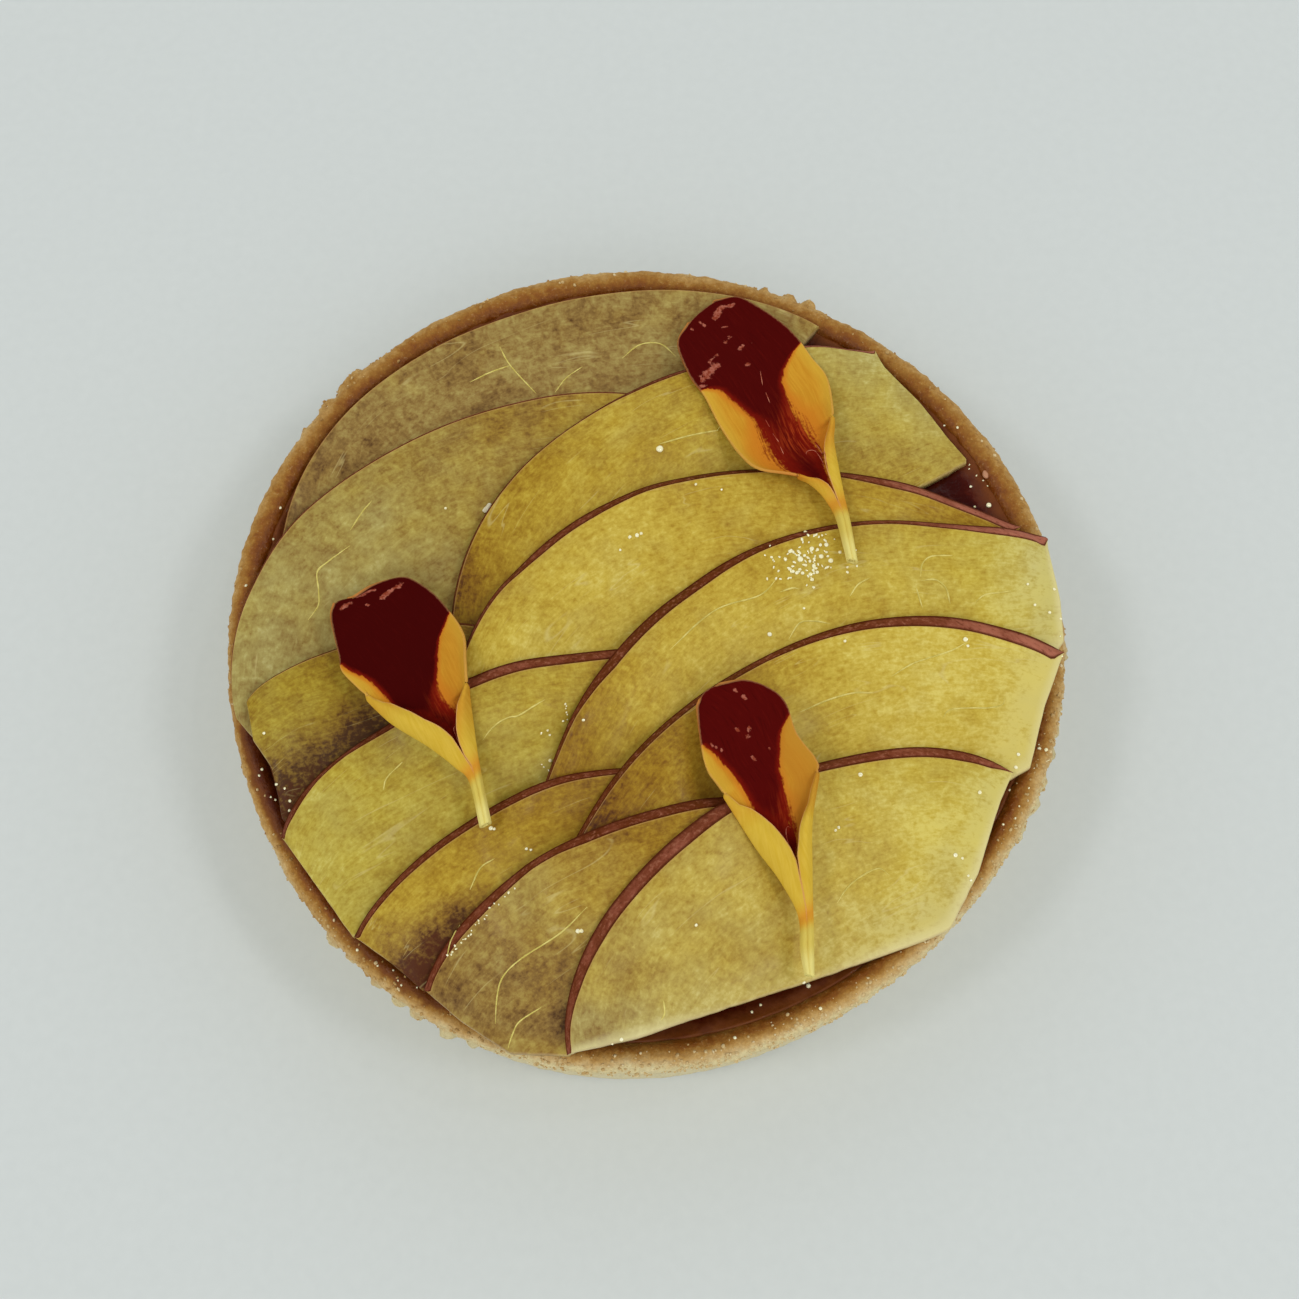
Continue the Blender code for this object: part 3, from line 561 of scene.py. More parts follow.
# Lengths are in millimetres. skin is a Bezier curve along the round edge, run_in and run_out lengthen it
# straight on, and cut is the other edge from the skin's start to its end. skin_width is the solid's skin,
# band the width of the red skin that shows and tone its redness, by share of the curve. light is how bright
# the flesh is at even steps along the skin, dull how grey, green how green, and a further share how much
# painted light, standing for light that shines through the thin flesh, pales it where it hangs over the rim.
# soaked gives the place, radius and depth of each patch that lies flat on the jam and lets it show through.
SLICES = (
    dict(
        name="peach_slice_01", run_in=6, run_out=0, skin_width=0.2, overhang_light_share=0,
        light=(0.38, 0.46, 0.5, 0.54), dull=(1, 1, 1, 0.9), green=(0, 0),
        soaked=((-16.3, 26, 6, 0.1), (-0.3, 30, 8, 0.06), (-24, 19.9, 5, 0.12)),
        band=((0, 0.34), (1, 0.34)),
        tone=((0, 0.3), (1, 0.3)),
        skin=((-34.9, 10.9), (-31.5, 32.8), (0.5, 43.5), (18, 32.6)),
        cut=((-31, 5.5), (-24, 11), (-14, 17), (-4, 20.5), (6, 23.5), (13, 27), (16, 30.4)),
    ),
    dict(
        name="peach_slice_02", run_in=0, run_out=6.5, skin_width=0.3, overhang_light_share=0,
        light=(0.66, 0.61, 0.46, 0.62), dull=(1, 0.9, 0.5, 0.1), green=(0.4, 0.3, 0),
        soaked=(),
        band=((0, 0.32), (0.3, 0.5), (1, 0.65)),
        tone=((0, 0.3), (1, 0.6)),
        skin=((-37.8, -8.8), (-43.7, 11), (-19, 26.8), (-1.7, 25.2)),
        cut=((-36, -10.8), (-30, -8.5), (-20, -5), (-12.5, 1.5), (-10.5, 10), (-4, 16.5), (3, 20.5)),
    ),
    dict(
        name="peach_slice_03", run_in=3.2, run_out=0, skin_width=0.4, overhang_light_share=0,
        light=(0.34, 0.62, 0.64, 0.84), dull=(0, 0, 0.1, 0.85), green=(0.2, 0.1, 0.4),
        soaked=((24.6, 16.8, 5.2, 0.15), (30, 16.8, 4, 0.09)),
        band=((0, 0.36), (0.4, 0.5), (0.5, 0.65), (0.6, 0.95), (1, 1.25)),
        tone=((0, 0.1), (0.55, 0.3), (0.8, 1.1), (1, 1.1)),
        skin=((-18.2, 1.7), (-17.6, 19.6), (7.9, 32.9), (23.2, 29.8)),
        cut=((-13, -1.5), (-8, 2.5), (0, 7), (10, 10.5), (20, 11.8), (27.5, 15.2), (32.3, 17.8), (27.5, 24),
            (24.3, 27.6)),
    ),
    dict(
        name="peach_slice_04", run_in=0, run_out=3.2, skin_width=0.45, overhang_light_share=0,
        light=(0.58, 0.51, 0.44, 0.4), dull=(0.1, 0.1), green=(0.7, 0.6),
        soaked=((-32, -17.2, 5.8, 0.56), (-29.3, -14.8, 5.2, 0.54), (-25.4, -10.8, 4.2, 0.44),
            (-22.6, -7.8, 3, 0.26)),
        band=((0, 0.42), (1, 0.55)),
        tone=((0, 0.05), (1, 0.1)),
        skin=((-36.5, -7.5), (-33.2, -1.6), (-20.6, 1.3), (-15.6, 0.1)),
        cut=((-35.6, -11.4), (-33.8, -13.9), (-33.1, -16.7), (-32.7, -18.6), (-30, -19), (-24.5, -13.5),
            (-18, -9), (-13.5, -5)),
    ),
    dict(
        name="peach_slice_05", run_in=5.8, run_out=2, skin_width=0.9, overhang_light_share=0,
        light=(0.7, 0.8, 0.64, 0.52), dull=(0, 0), green=(0.1, 0, 0),
        soaked=(),
        band=((0, 0.55), (0.12, 0.7), (0.2, 1.05), (0.3, 1.05), (0.38, 0.9), (0.6, 0.8), (0.72, 1.05),
            (0.8, 1.4), (1, 1.5)),
        tone=((0, 0.35), (0.35, 0.35), (0.5, 0.12), (0.7, 0.15), (0.82, 0.8), (1, 0.9)),
        skin=((-16.3, -2.2), (-9.3, 18), (18.5, 21.3), (35, 11.5)),
        cut=((-14, -8), (-6, -6), (3, -2), (9, 1.5), (18, 5.5), (28, 6.5), (34.5, 7)),
    ),
    dict(
        name="peach_slice_06", run_in=0, run_out=4.5, skin_width=0.85, overhang_light_share=0,
        light=(0.84, 0.68, 0.66, 0.56), dull=(0.2, 0.1), green=(0.6, 0.5, 0),
        soaked=(),
        band=((0, 1), (0.08, 1.2), (0.17, 0.85), (0.27, 0.7), (0.38, 0.9), (0.6, 1.3), (1, 1.35)),
        tone=((0, 0.35), (0.45, 0.35), (0.6, 0.5), (1, 0.5)),
        skin=((-32.6, -20.1), (-30.4, -9.6), (-11.5, -3.7), (-2.2, -2.1)),
        cut=((-25.6, -29.2), (-22.5, -28), (-16, -23), (-9, -19.5), (-3, -16.5), (1, -9)),
    ),
    dict(
        name="peach_slice_07", run_in=5.5, run_out=0, skin_width=1.2, overhang_light_share=1,
        light=(0.28, 0.73, 0.72, 0.78), dull=(0, 0.1), green=(0, 0, 0.4),
        soaked=(),
        band=((0, 0.55), (0.1, 0.65), (0.2, 1.2), (0.42, 1.15), (0.52, 1), (0.74, 0.95), (0.84, 1.3),
            (0.92, 1.8), (1, 2)),
        tone=((0, 0.3), (0.3, 0.2), (0.5, 0.3), (0.72, 0.4), (0.88, 0.9), (1, 1.1)),
        skin=((-8.6, -14.5), (-0.2, 7.4), (16.4, 14.8), (38.8, 9)),
        cut=((-7, -23), (-3, -20.5), (2, -14), (9, -8), (19, -3), (29, -3), (36.5, -6), (39.8, -1.4),
            (39.8, 2.6), (39.3, 6)),
    ),
    dict(
        name="peach_slice_08", run_in=0, run_out=4.5, skin_width=0.85, overhang_light_share=0,
        light=(0.78, 0.56, 0.47, 0.4), dull=(0, 0), green=(0.1, 0),
        soaked=((-19.6, -32.6, 4.4, 0.66), (-18.2, -30, 3.4, 0.62), (-16.4, -27.7, 2.4, 0.5),
            (-20.8, -31.8, 4.4, 0.36), (-14.6, -26.1, 2, 0.26)),
        band=((0, 0.8), (0.15, 0.88), (1, 1)),
        tone=((0, 0.45), (1, 0.35)),
        skin=((-25.4, -29.2), (-21.4, -20), (-11.4, -14.9), (-1.8, -14.1)),
        cut=((-22, -31.5), (-19.1, -33.9), (-16, -33), (-10, -27), (-3, -23), (3.5, -20)),
    ),
    dict(
        name="peach_slice_09", run_in=5.5, run_out=0, skin_width=1, overhang_light_share=0.8,
        light=(0.12, 0.5, 0.85, 0.98), dull=(0, 0), green=(0, 0, 0.1),
        soaked=(),
        band=((0, 0.73), (0.45, 0.78), (0.56, 1), (0.66, 1.25), (0.73, 1.45), (0.81, 1.75), (0.9, 2),
            (1, 2.25)),
        tone=((0, 0.2), (0.3, 0.15), (0.6, 0.3), (0.75, 0.6), (0.88, 0.9), (1, 1)),
        skin=((-5.4, -19.8), (3.1, -4.7), (22.8, 8.1), (39.4, -2.7)),
        cut=((-2, -27.5), (5, -25), (12, -19.5), (21, -16.5), (30, -17.5), (34.1, -14.5), (35.7, -13.7),
            (37.3, -8)),
    ),
    dict(
        name="peach_slice_10", run_in=0, run_out=4.5, skin_width=1.1, overhang_light_share=0,
        light=(0.44, 0.56, 0.46, 0.36), dull=(1, 0.6, 0.1, 0), green=(0, 0),
        soaked=((-6.7, -36.4, 2.4, 0.46), (-7.4, -33.5, 3, 0.26), (-9.8, -34.5, 6.4, 0.26),
            (-15, -35.8, 4, 0.16)),
        band=((0, 1), (0.11, 1.1), (0.27, 1.18), (0.36, 1), (0.44, 0.85), (0.52, 0.85), (0.6, 1.05), (1, 1.15)),
        tone=((0, 0.55), (0.5, 0.4), (1, 0.25)),
        skin=((-19, -33.8), (-16.5, -23.4), (-1.9, -18.6), (7.4, -17)),
        cut=((-15.6, -36.6), (-11.4, -39.2), (-6.3, -39.4), (-3, -36.5), (3, -29), (9.5, -21.5)),
    ),
    dict(
        name="peach_slice_11", run_in=0, run_out=0, skin_width=1.35, overhang_light_share=1,
        light=(0.58, 0.7, 0.75, 0.96), dull=(0.6, 0.4, 0.1, 0), green=(0.1, 0, 0.3),
        soaked=((-0.1, -35.4, 4, 0.12), (-3.8, -37.8, 2.6, 0.34)),
        band=((0, 0.5), (0.05, 0.65), (0.11, 1), (0.19, 1.25), (0.3, 1.35), (0.4, 1.45), (0.5, 1.3),
            (0.66, 1.12), (0.8, 1.3), (0.9, 1.4), (0.95, 1.25), (1, 0.3)),
        tone=((0, 0.55), (0.4, 0.6), (0.6, 0.4), (0.85, 0.6), (1, 0.7)),
        skin=((-6.4, -39.4), (-9.6, -24.5), (21.9, -4), (33.9, -14.2)),
        cut=((-0.1, -38), (14.6, -33.1), (26, -29.1), (27.5, -28.4), (30.3, -23.4), (32.6, -17)),
    ),
)
FINE_ROWS = 108
FLESH_COLUMNS = 30
BAND_COLUMNS = (0.0, 0.06, 0.2, 0.4, 0.6, 0.8, 0.94, 1.0)
EDGE_STEPS = (0.00030, 0.00018, 0.00009, 0.00003, 0.0)
EDGE_ROUND = 0.00030
EDGE_GAP = 1.3
SINK = 0.00012
CUT_WOBBLE = 0.00006
CUT_WOBBLE_SIZE = 0.0012
SOLID_BAND_LIMIT = 0.25
BAND_LIMIT = 0.6
SKIN_SHADE = 0.14
SKIN_SHADE_REACH = 0.0050
# Distances from the middle: where the jam ends, and where painted light, standing for light that shines
# through the overhanging flesh, pales it in colour and in brightness
JAM_END = (0.0396, 0.0386)
HANG_START = (0.0358, 0.0373)
HANG_RADIUS = (0.0325, 0.0385)
OVERHANG_PAINTED_LIGHT = 0.26
OVERHANG_PAINTED_PALENESS = 0.35
PATCH_REACH = 1.25
# How far the mottling shifts from one slice or petal to the next
NEXT_PATTERN = 0.1


def length_along(points):
    """Length of a polyline from its start to each of its points."""
    return np.r_[0, np.cumsum(np.hypot(*np.diff(points, axis=0).T))]


def apart(first, second):
    """Distance between the points of two edges, row by row, as a column."""
    return np.hypot(*(second - first).T)[:, None]


def along(points, amount):
    """Points at even steps of length along a polyline."""
    points = np.asarray(points, float)
    length = length_along(points)
    spots = np.linspace(0, length[-1], amount)
    return np.column_stack([np.interp(spots, length, column) for column in points.T])


def carried_on(points, run_in, run_out):
    """Polyline lengthened straight on at its two ends."""
    ends = []
    for tip, inner, run in ((points[0], points[1], run_in), (points[-1], points[-2], run_out)):
        heading = tip - inner
        ends.append(tip + heading / np.hypot(*heading) * run)
    return np.array([ends[0], *points[1:-1], ends[1]])


def toward(start, end, distance):
    """Point at a distance from one point on the way to another."""
    heading = np.subtract(end, start)
    return start + heading / np.hypot(*heading) * distance


def slice_edges(shape, rows):
    """Skin edge and cut edge of a slice, in rows, and the share of the skin's curve at each row."""
    handles = [Vector((x * MM, y * MM, 0.0)) for x, y in shape["skin"]]
    curve = np.array(interpolate_bezier(*handles, 4 * SLICE_ROWS))[:, :2]
    length = length_along(curve)[-1]
    run_in, run_out = shape["run_in"] * MM, shape["run_out"] * MM
    whole = run_in + length + run_out
    skin = along(carried_on(curve, run_in, run_out), rows)
    cut = np.multiply(shape["cut"], MM)
    cut = [toward(skin[0], cut[0], TIP_BLUNTNESS), *cut, toward(skin[-1], cut[-1], TIP_BLUNTNESS)]
    share = (np.linspace(0, whole, rows) - run_in) / length
    return skin, along(cut, rows), share


def inward_by(skin, cut, distance, limit):
    """Edge at a distance inward from the skin, which is at most a share of the way to the cut."""
    reach = apart(skin, cut)
    return skin + (cut - skin) / reach * np.minimum(np.reshape(distance, (-1, 1)), reach * limit)


def lerp(first, second, share):
    """Points on the way from one row of points to another, in columns."""
    share = np.asarray(share)
    if share.ndim == 1:
        share = share[None]
    return first[:, None] * (1 - share[..., None]) + second[:, None] * share[..., None]


def curve_at(values, spots):
    """Values of the smooth curve through evenly spaced values, at places along it, by the first axis."""
    padded = np.concatenate([2 * values[:1] - values[1:2], values, 2 * values[-1:] - values[-2:-1]])
    spots = np.clip(spots, 0, len(values) - 1.000001)
    base = np.floor(spots).astype(int)
    t = (spots - base).reshape(-1, *[1] * (values.ndim - 1))
    a, b, c, d = (padded[base + k] for k in range(4))
    return b + 0.5 * t * (c - a + t * (2 * a - 5 * b + 4 * c - d + t * (3 * (b - c) + d - a)))


def surface_at(grid, rows, columns):
    """Smooth surface through a grid of heights, at rows and at each row's own columns."""
    tall = curve_at(grid, rows)
    wide = np.broadcast_to(columns, (len(rows), np.shape(columns)[-1]))
    return np.array([curve_at(line, spots) for line, spots in zip(tall, wide)])


def solid_heights(name, plan, highest):
    """Height of a solid's own corner above or below each point of a plan."""
    corners = [vertex.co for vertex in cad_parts[name].data.vertices]
    tree = KDTree(len(corners))
    for index, corner in enumerate(corners):
        tree.insert((corner.x, corner.y, 0.0), index)
    tree.balance()
    found = np.zeros(plan.shape[:2])
    pick = max if highest else min
    for spot in np.ndindex(found.shape):
        near = tree.find_range((*plan[spot], 0.0), 0.00002) or tree.find_n((*plan[spot], 0.0), 2)
        found[spot] = pick(corners[index].z for _, index, _ in near)
    return found


def sheet_faces(rows, columns):
    """Quads of a closed sheet: its top grid, then its under grid, then its four sides."""
    top = np.arange(rows * columns).reshape(rows, columns)
    low = top + rows * columns
    up = np.stack([top[:-1, :-1], top[1:, :-1], top[1:, 1:], top[:-1, 1:]], -1).reshape(-1, 4)
    down = np.stack([low[:-1, :-1], low[:-1, 1:], low[1:, 1:], low[1:, :-1]], -1).reshape(-1, 4)
    border = np.concatenate([top[:-1, 0], top[-1, :-1], top[:0:-1, -1], top[0, :0:-1]])
    after = np.roll(border, -1)
    size = rows * columns
    sides = np.stack([border, border + size, after + size, after], -1)
    return np.concatenate([up, down, sides]).tolist()


def keep_on_both_sides(piece, shape, values):
    """Store values with the points of a sheet's grid, alike on its upper and under side."""
    for name, value in values.items():
        keep_value(piece, name, np.tile(np.broadcast_to(value, shape).ravel(), 2))


paint, tree, shader = new_material("peach_flesh")
where = place(tree)
inward, sliced = attribute(tree, "from_skin"), attribute(tree, "from_cut")
follow = {"X": attribute(tree, "along_skin"), "Y": inward, "Z": 0.0}
follow = add(tree, "ShaderNodeCombineXYZ", follow).outputs[0]
along_fibres = add(tree, "ShaderNodeMapping", {"Vector": follow, "Scale": (0.30, 1.0, 1.0)}).outputs[0]
elsewhere = add(tree, "ShaderNodeMapping", {"Vector": where, "Location": (0.4, 0.2, 0.1)}).outputs[0]
pulp = speckle(where, 0.00045, 4.0, 0.65, swirl=0.2)
soaked = count("MULTIPLY", attribute(tree, "soaked"), between(pulp, 0.30, 0.70, 1.12, 0.86))
lit, dull = attribute(tree, "light"), attribute(tree, "dull")
# Place, size, swing in bright and in dull flesh, detail and swirl of each kind of mottling
MOTTLING = (
    (where, 0.0070, 0.44, 0.55, 2.0, 0.0),
    (where, 0.0026, 0.24, 0.68, 3.0, 0.8),
    (where, 0.0012, 0.34, 0.80, 4.0, 0.6),
    (where, 0.00045, 0.55, 0.60, 4.0, 0.2),
    (along_fibres, 0.00032, 0.44, 0.40, 3.0, 0.3),
)
for spot, size, swing, dull_swing, detail, swirl in MOTTLING:
    swing = between(dull, 0.0, 1.0, swing, dull_swing, False)
    lit = uneven(lit, spot, size, swing, detail, swirl)
lit = count("SUBTRACT", lit, soaked, clamp=True)
dull = uneven(dull, where, 0.0045, 0.8)
dull = count("MULTIPLY_ADD", soaked, 1.0, dull, clamp=True)
bright = steps(
    lit, (0.0, 78, 38, 16), (0.1, 100, 60, 18), (0.2, 128, 86, 18), (0.4, 159, 120, 28), (0.6, 184, 150, 46),
    (0.8, 204, 176, 68), (1.0, 223, 202, 104),
)
grey = steps(
    lit, (0.0, 78, 50, 22), (0.1, 98, 68, 32), (0.2, 119, 87, 43), (0.4, 146, 115, 59), (0.6, 165, 141, 78),
    (0.8, 180, 160, 94), (1.0, 198, 182, 120),
)
flesh = blended(dull, bright, grey)
flesh = blended(attribute(tree, "green"), flesh, (0.86, 1.0, 1.0), "MULTIPLY")
flesh = blended(between(soaked, 0.42, 0.66, 0.0, 0.80), flesh, seen(86, 38, 12))
strand = speckle(follow, 0.0034, 2.0, 0.5, (0.14, 1.0, 1.0), 0.6)
strand = between(count("ABSOLUTE", count("SUBTRACT", strand, 0.5)), 0.0, 0.009, 0.32, 0.0)
strand = count("MULTIPLY", strand, between(speckle(elsewhere, 0.0045, 2.0), 0.50, 0.62))
flesh = blended(strand, flesh, seen(222, 206, 140))
rind = count("SUBTRACT", inward, attribute(tree, "band_width"))
flesh = blended(between(rind, 0.00004, 0.00014, 0.45, 0.0), flesh, seen(190, 146, 84))
# Painted light: near its cut edge the overhanging flesh is painted pale, as if lit through from below
painted_overhang_light = count("MULTIPLY", attribute(tree, "light_through_overhang"), between(sliced, 0.0001, 0.0016, 0.60, 0.0))
flesh = blended(painted_overhang_light, flesh, seen(228, 216, 160))
cut_line = count("MULTIPLY", between(sliced, 0.00006, 0.00022, 0.35, 0.0), between(soaked, 0.2, 0.5, 1.0, 0.0))
flesh = blended(cut_line, flesh, seen(200, 172, 132))
fill(shader, {
    "Base Color": flesh, "Roughness": between(pulp, 0.3, 0.7, 0.42, 0.58), "Specular IOR Level": 0.15,
    "Coat Weight": 0.05, "Coat Roughness": 0.20,
    "Normal": dented(uneven(pulp, along_fibres, 0.00032, 1.0, 3.0), 0.00004, 0.6),
})
flesh_paint = paint

paint, tree, shader = new_material("peach_skin")
band = attribute(tree, "across_band")
follow = {"X": attribute(tree, "along_skin"), "Y": band, "Z": 0.0}
follow = add(tree, "ShaderNodeCombineXYZ", follow).outputs[0]
fuzz = speckle(follow, 0.00030, 4.0, 0.7, (0.6, 0.0010, 1.0), 0.4)
redness = uneven(attribute(tree, "tone"), place(tree), 0.0022, 0.8)
skin = steps(redness, (0.0, 94, 48, 10), (0.3, 105, 48, 19), (0.6, 130, 66, 44), (1.0, 178, 106, 84))
skin = blended(between(fuzz, 0.50, 0.68, 0.0, 0.55), skin, seen(178, 116, 90))
skin = blended(between(fuzz, 0.30, 0.48, 0.65, 0.0), skin, seen(78, 30, 8))
# Painted shade: both edges of the skin band are darkened, standing for the shadow at the band's step; narrow bands
# get less of it
edge_shade_and_lip = uneven(count("ABSOLUTE", count("SUBTRACT", band, 0.5)), follow, 0.00040, 0.30, 3.0)
wide = between(attribute(tree, "band_width"), 0.0003, 0.0007, 0.45, 1.0)
edge_shade_and_lip = count("MULTIPLY", between(edge_shade_and_lip, 0.26, 0.44, 0.0, 0.90), wide)
skin = blended(edge_shade_and_lip, skin, seen(78, 30, 4))
fill(shader, {
    "Base Color": skin, "Roughness": 0.60, "Specular IOR Level": 0.05, "Normal": dented(fuzz, 0.00005),
})
skin_paint = paint

coarse_share = np.linspace(0, 1, SLICE_COLUMNS + 1)
rows = FINE_ROWS + 1
row_spots = np.linspace(0, SLICE_ROWS, rows)
band = np.array(BAND_COLUMNS)
slices = []
for number, shape in enumerate(SLICES):
    # Heights of the solid's own corners, in rows from skin to cut
    skin, cut, share = slice_edges(shape, SLICE_ROWS + 1)
    solid_skin = inward_by(skin, cut, shape["skin_width"] * MM, SOLID_BAND_LIMIT)
    top_heights = solid_heights(shape["name"], lerp(solid_skin, cut, coarse_share), True)
    low_heights = solid_heights(shape["name"], lerp(skin, cut, coarse_share), False)

    # Plan of the finer slice: its band of skin, then its flesh, whose last columns round the cut edge
    skin, cut, share = slice_edges(shape, rows)
    solid_skin = inward_by(skin, cut, shape["skin_width"] * MM, SOLID_BAND_LIMIT)
    solid_reach = apart(solid_skin, cut)
    wobble = CUT_WOBBLE * rough(np.column_stack([cut, np.full(rows, NEXT_PATTERN * number)]), CUT_WOBBLE_SIZE, 2)
    cut = cut + (cut - skin) / apart(skin, cut) * wobble[:, None]
    top_skin = inward_by(skin, cut, table_at(shape["band"], share) * MM, BAND_LIMIT)
    width, whole = apart(skin, top_skin), apart(skin, cut)
    reach = whole - width
    even = np.linspace(0, 1, FLESH_COLUMNS, endpoint=False)[None, 1:]
    last_steps = np.array(EDGE_STEPS)[None] / np.maximum(reach, 2 * EDGE_STEPS[0])
    shares = np.hstack([even * (1 - EDGE_GAP * last_steps[:, :1]), 1 - last_steps])
    top_plan = np.concatenate([lerp(skin, top_skin, BAND_COLUMNS), lerp(top_skin, cut, shares)], axis=1)
    low_shares = np.hstack([band[None] * width / whole, (width + shares * reach) / whole])
    low_plan = lerp(skin, cut, low_shares)

    # Its heights, with a swelling skin and a rounded cut edge
    low = surface_at(low_heights, row_spots, low_shares * SLICE_COLUMNS) - SINK
    from_skin = low_shares * whole
    on_solid = way_from(from_skin, whole - solid_reach, whole) * SLICE_COLUMNS
    swell = np.sin(np.clip(band, 0.1, 1) * pi / 2)[None] ** 0.9
    beside_band = surface_at(top_heights, row_spots, on_solid[:, len(band) - 1:len(band)])
    band_top = low[:, :1] * (1 - swell) + beside_band * swell
    inset = np.clip(EDGE_ROUND - (1 - shares) * reach, 0, EDGE_ROUND)
    flesh_top = surface_at(top_heights, row_spots, on_solid[:, len(band):])
    flesh_top -= EDGE_ROUND - np.sqrt(EDGE_ROUND**2 - inset**2)
    top = np.hstack([band_top, flesh_top])
    columns = top.shape[1]
    points = [np.dstack(grid).reshape(-1, 3) for grid in ((top_plan, top), (low_plan, low))]
    faces = [face[::-1] for face in sheet_faces(rows, columns)]
    paints = np.zeros(len(faces), int)
    paints[: (rows - 1) * (columns - 1)] = np.tile(np.arange(columns - 1) < len(band) - 1, rows - 1)
    name = "sliced_peach_" + shape["name"][-2:]
    piece = mesh_piece(name, np.concatenate(points), faces, [flesh_paint, skin_paint], paints)

    out_at = np.hypot(*np.moveaxis(top_plan, 2, 0))
    patches = 0 * top
    for x, y, size, depth in shape["soaked"]:
        away = np.hypot(*np.moveaxis(top_plan / MM - (x, y), 2, 0)) / size
        patches = np.maximum(patches, depth * np.clip(PATCH_REACH - away, 0, 1))
    light, dull, green = (
        np.interp(np.linspace(0, 1, rows), np.linspace(0, 1, len(values)), values)[:, None]
        for values in (shape["light"], shape["dull"], shape["green"])
    )
    shade = SKIN_SHADE * way_from(from_skin, SKIN_SHADE_REACH, 0) * (1 - dull)
    # Painted light: where the flesh hangs over the rim it is made brighter and greyer, as if light shines through
    # it
    light_through_overhang = way_from(out_at, *HANG_RADIUS) * shape["overhang_light_share"]
    keep_on_both_sides(piece, top.shape, {
        "along_skin": length_along(skin)[:, None] + NEXT_PATTERN * number,
        "from_skin": from_skin,
        "from_cut": whole - from_skin,
        "band_width": width,
        "across_band": np.hstack([band, np.ones(columns - len(band))]),
        "tone": table_at(shape["tone"], share)[:, None],
        "light": light - shade + OVERHANG_PAINTED_LIGHT * light_through_overhang,
        "light_through_overhang": way_from(out_at, *HANG_START) * shape["overhang_light_share"],
        "soaked": patches * way_from(out_at, *JAM_END),
        "dull": dull + OVERHANG_PAINTED_PALENESS * light_through_overhang,
        "green": green,
    })
    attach(piece, "root")
    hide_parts(shape["name"])
    slices.append(piece)


# ---------------------------------------------------------------------------------------------------
# Petals
# Three ray petals of a French marigold. The blade is velvet maroon with orange sides. Its margins roll in
# over a closed throat, where their yellow reverse shows, and end in a short pale tube that was pulled
# out of the flower head.
# ---------------------------------------------------------------------------------------------------

PETAL_ROWS = 20
PETAL_COLUMNS = 6
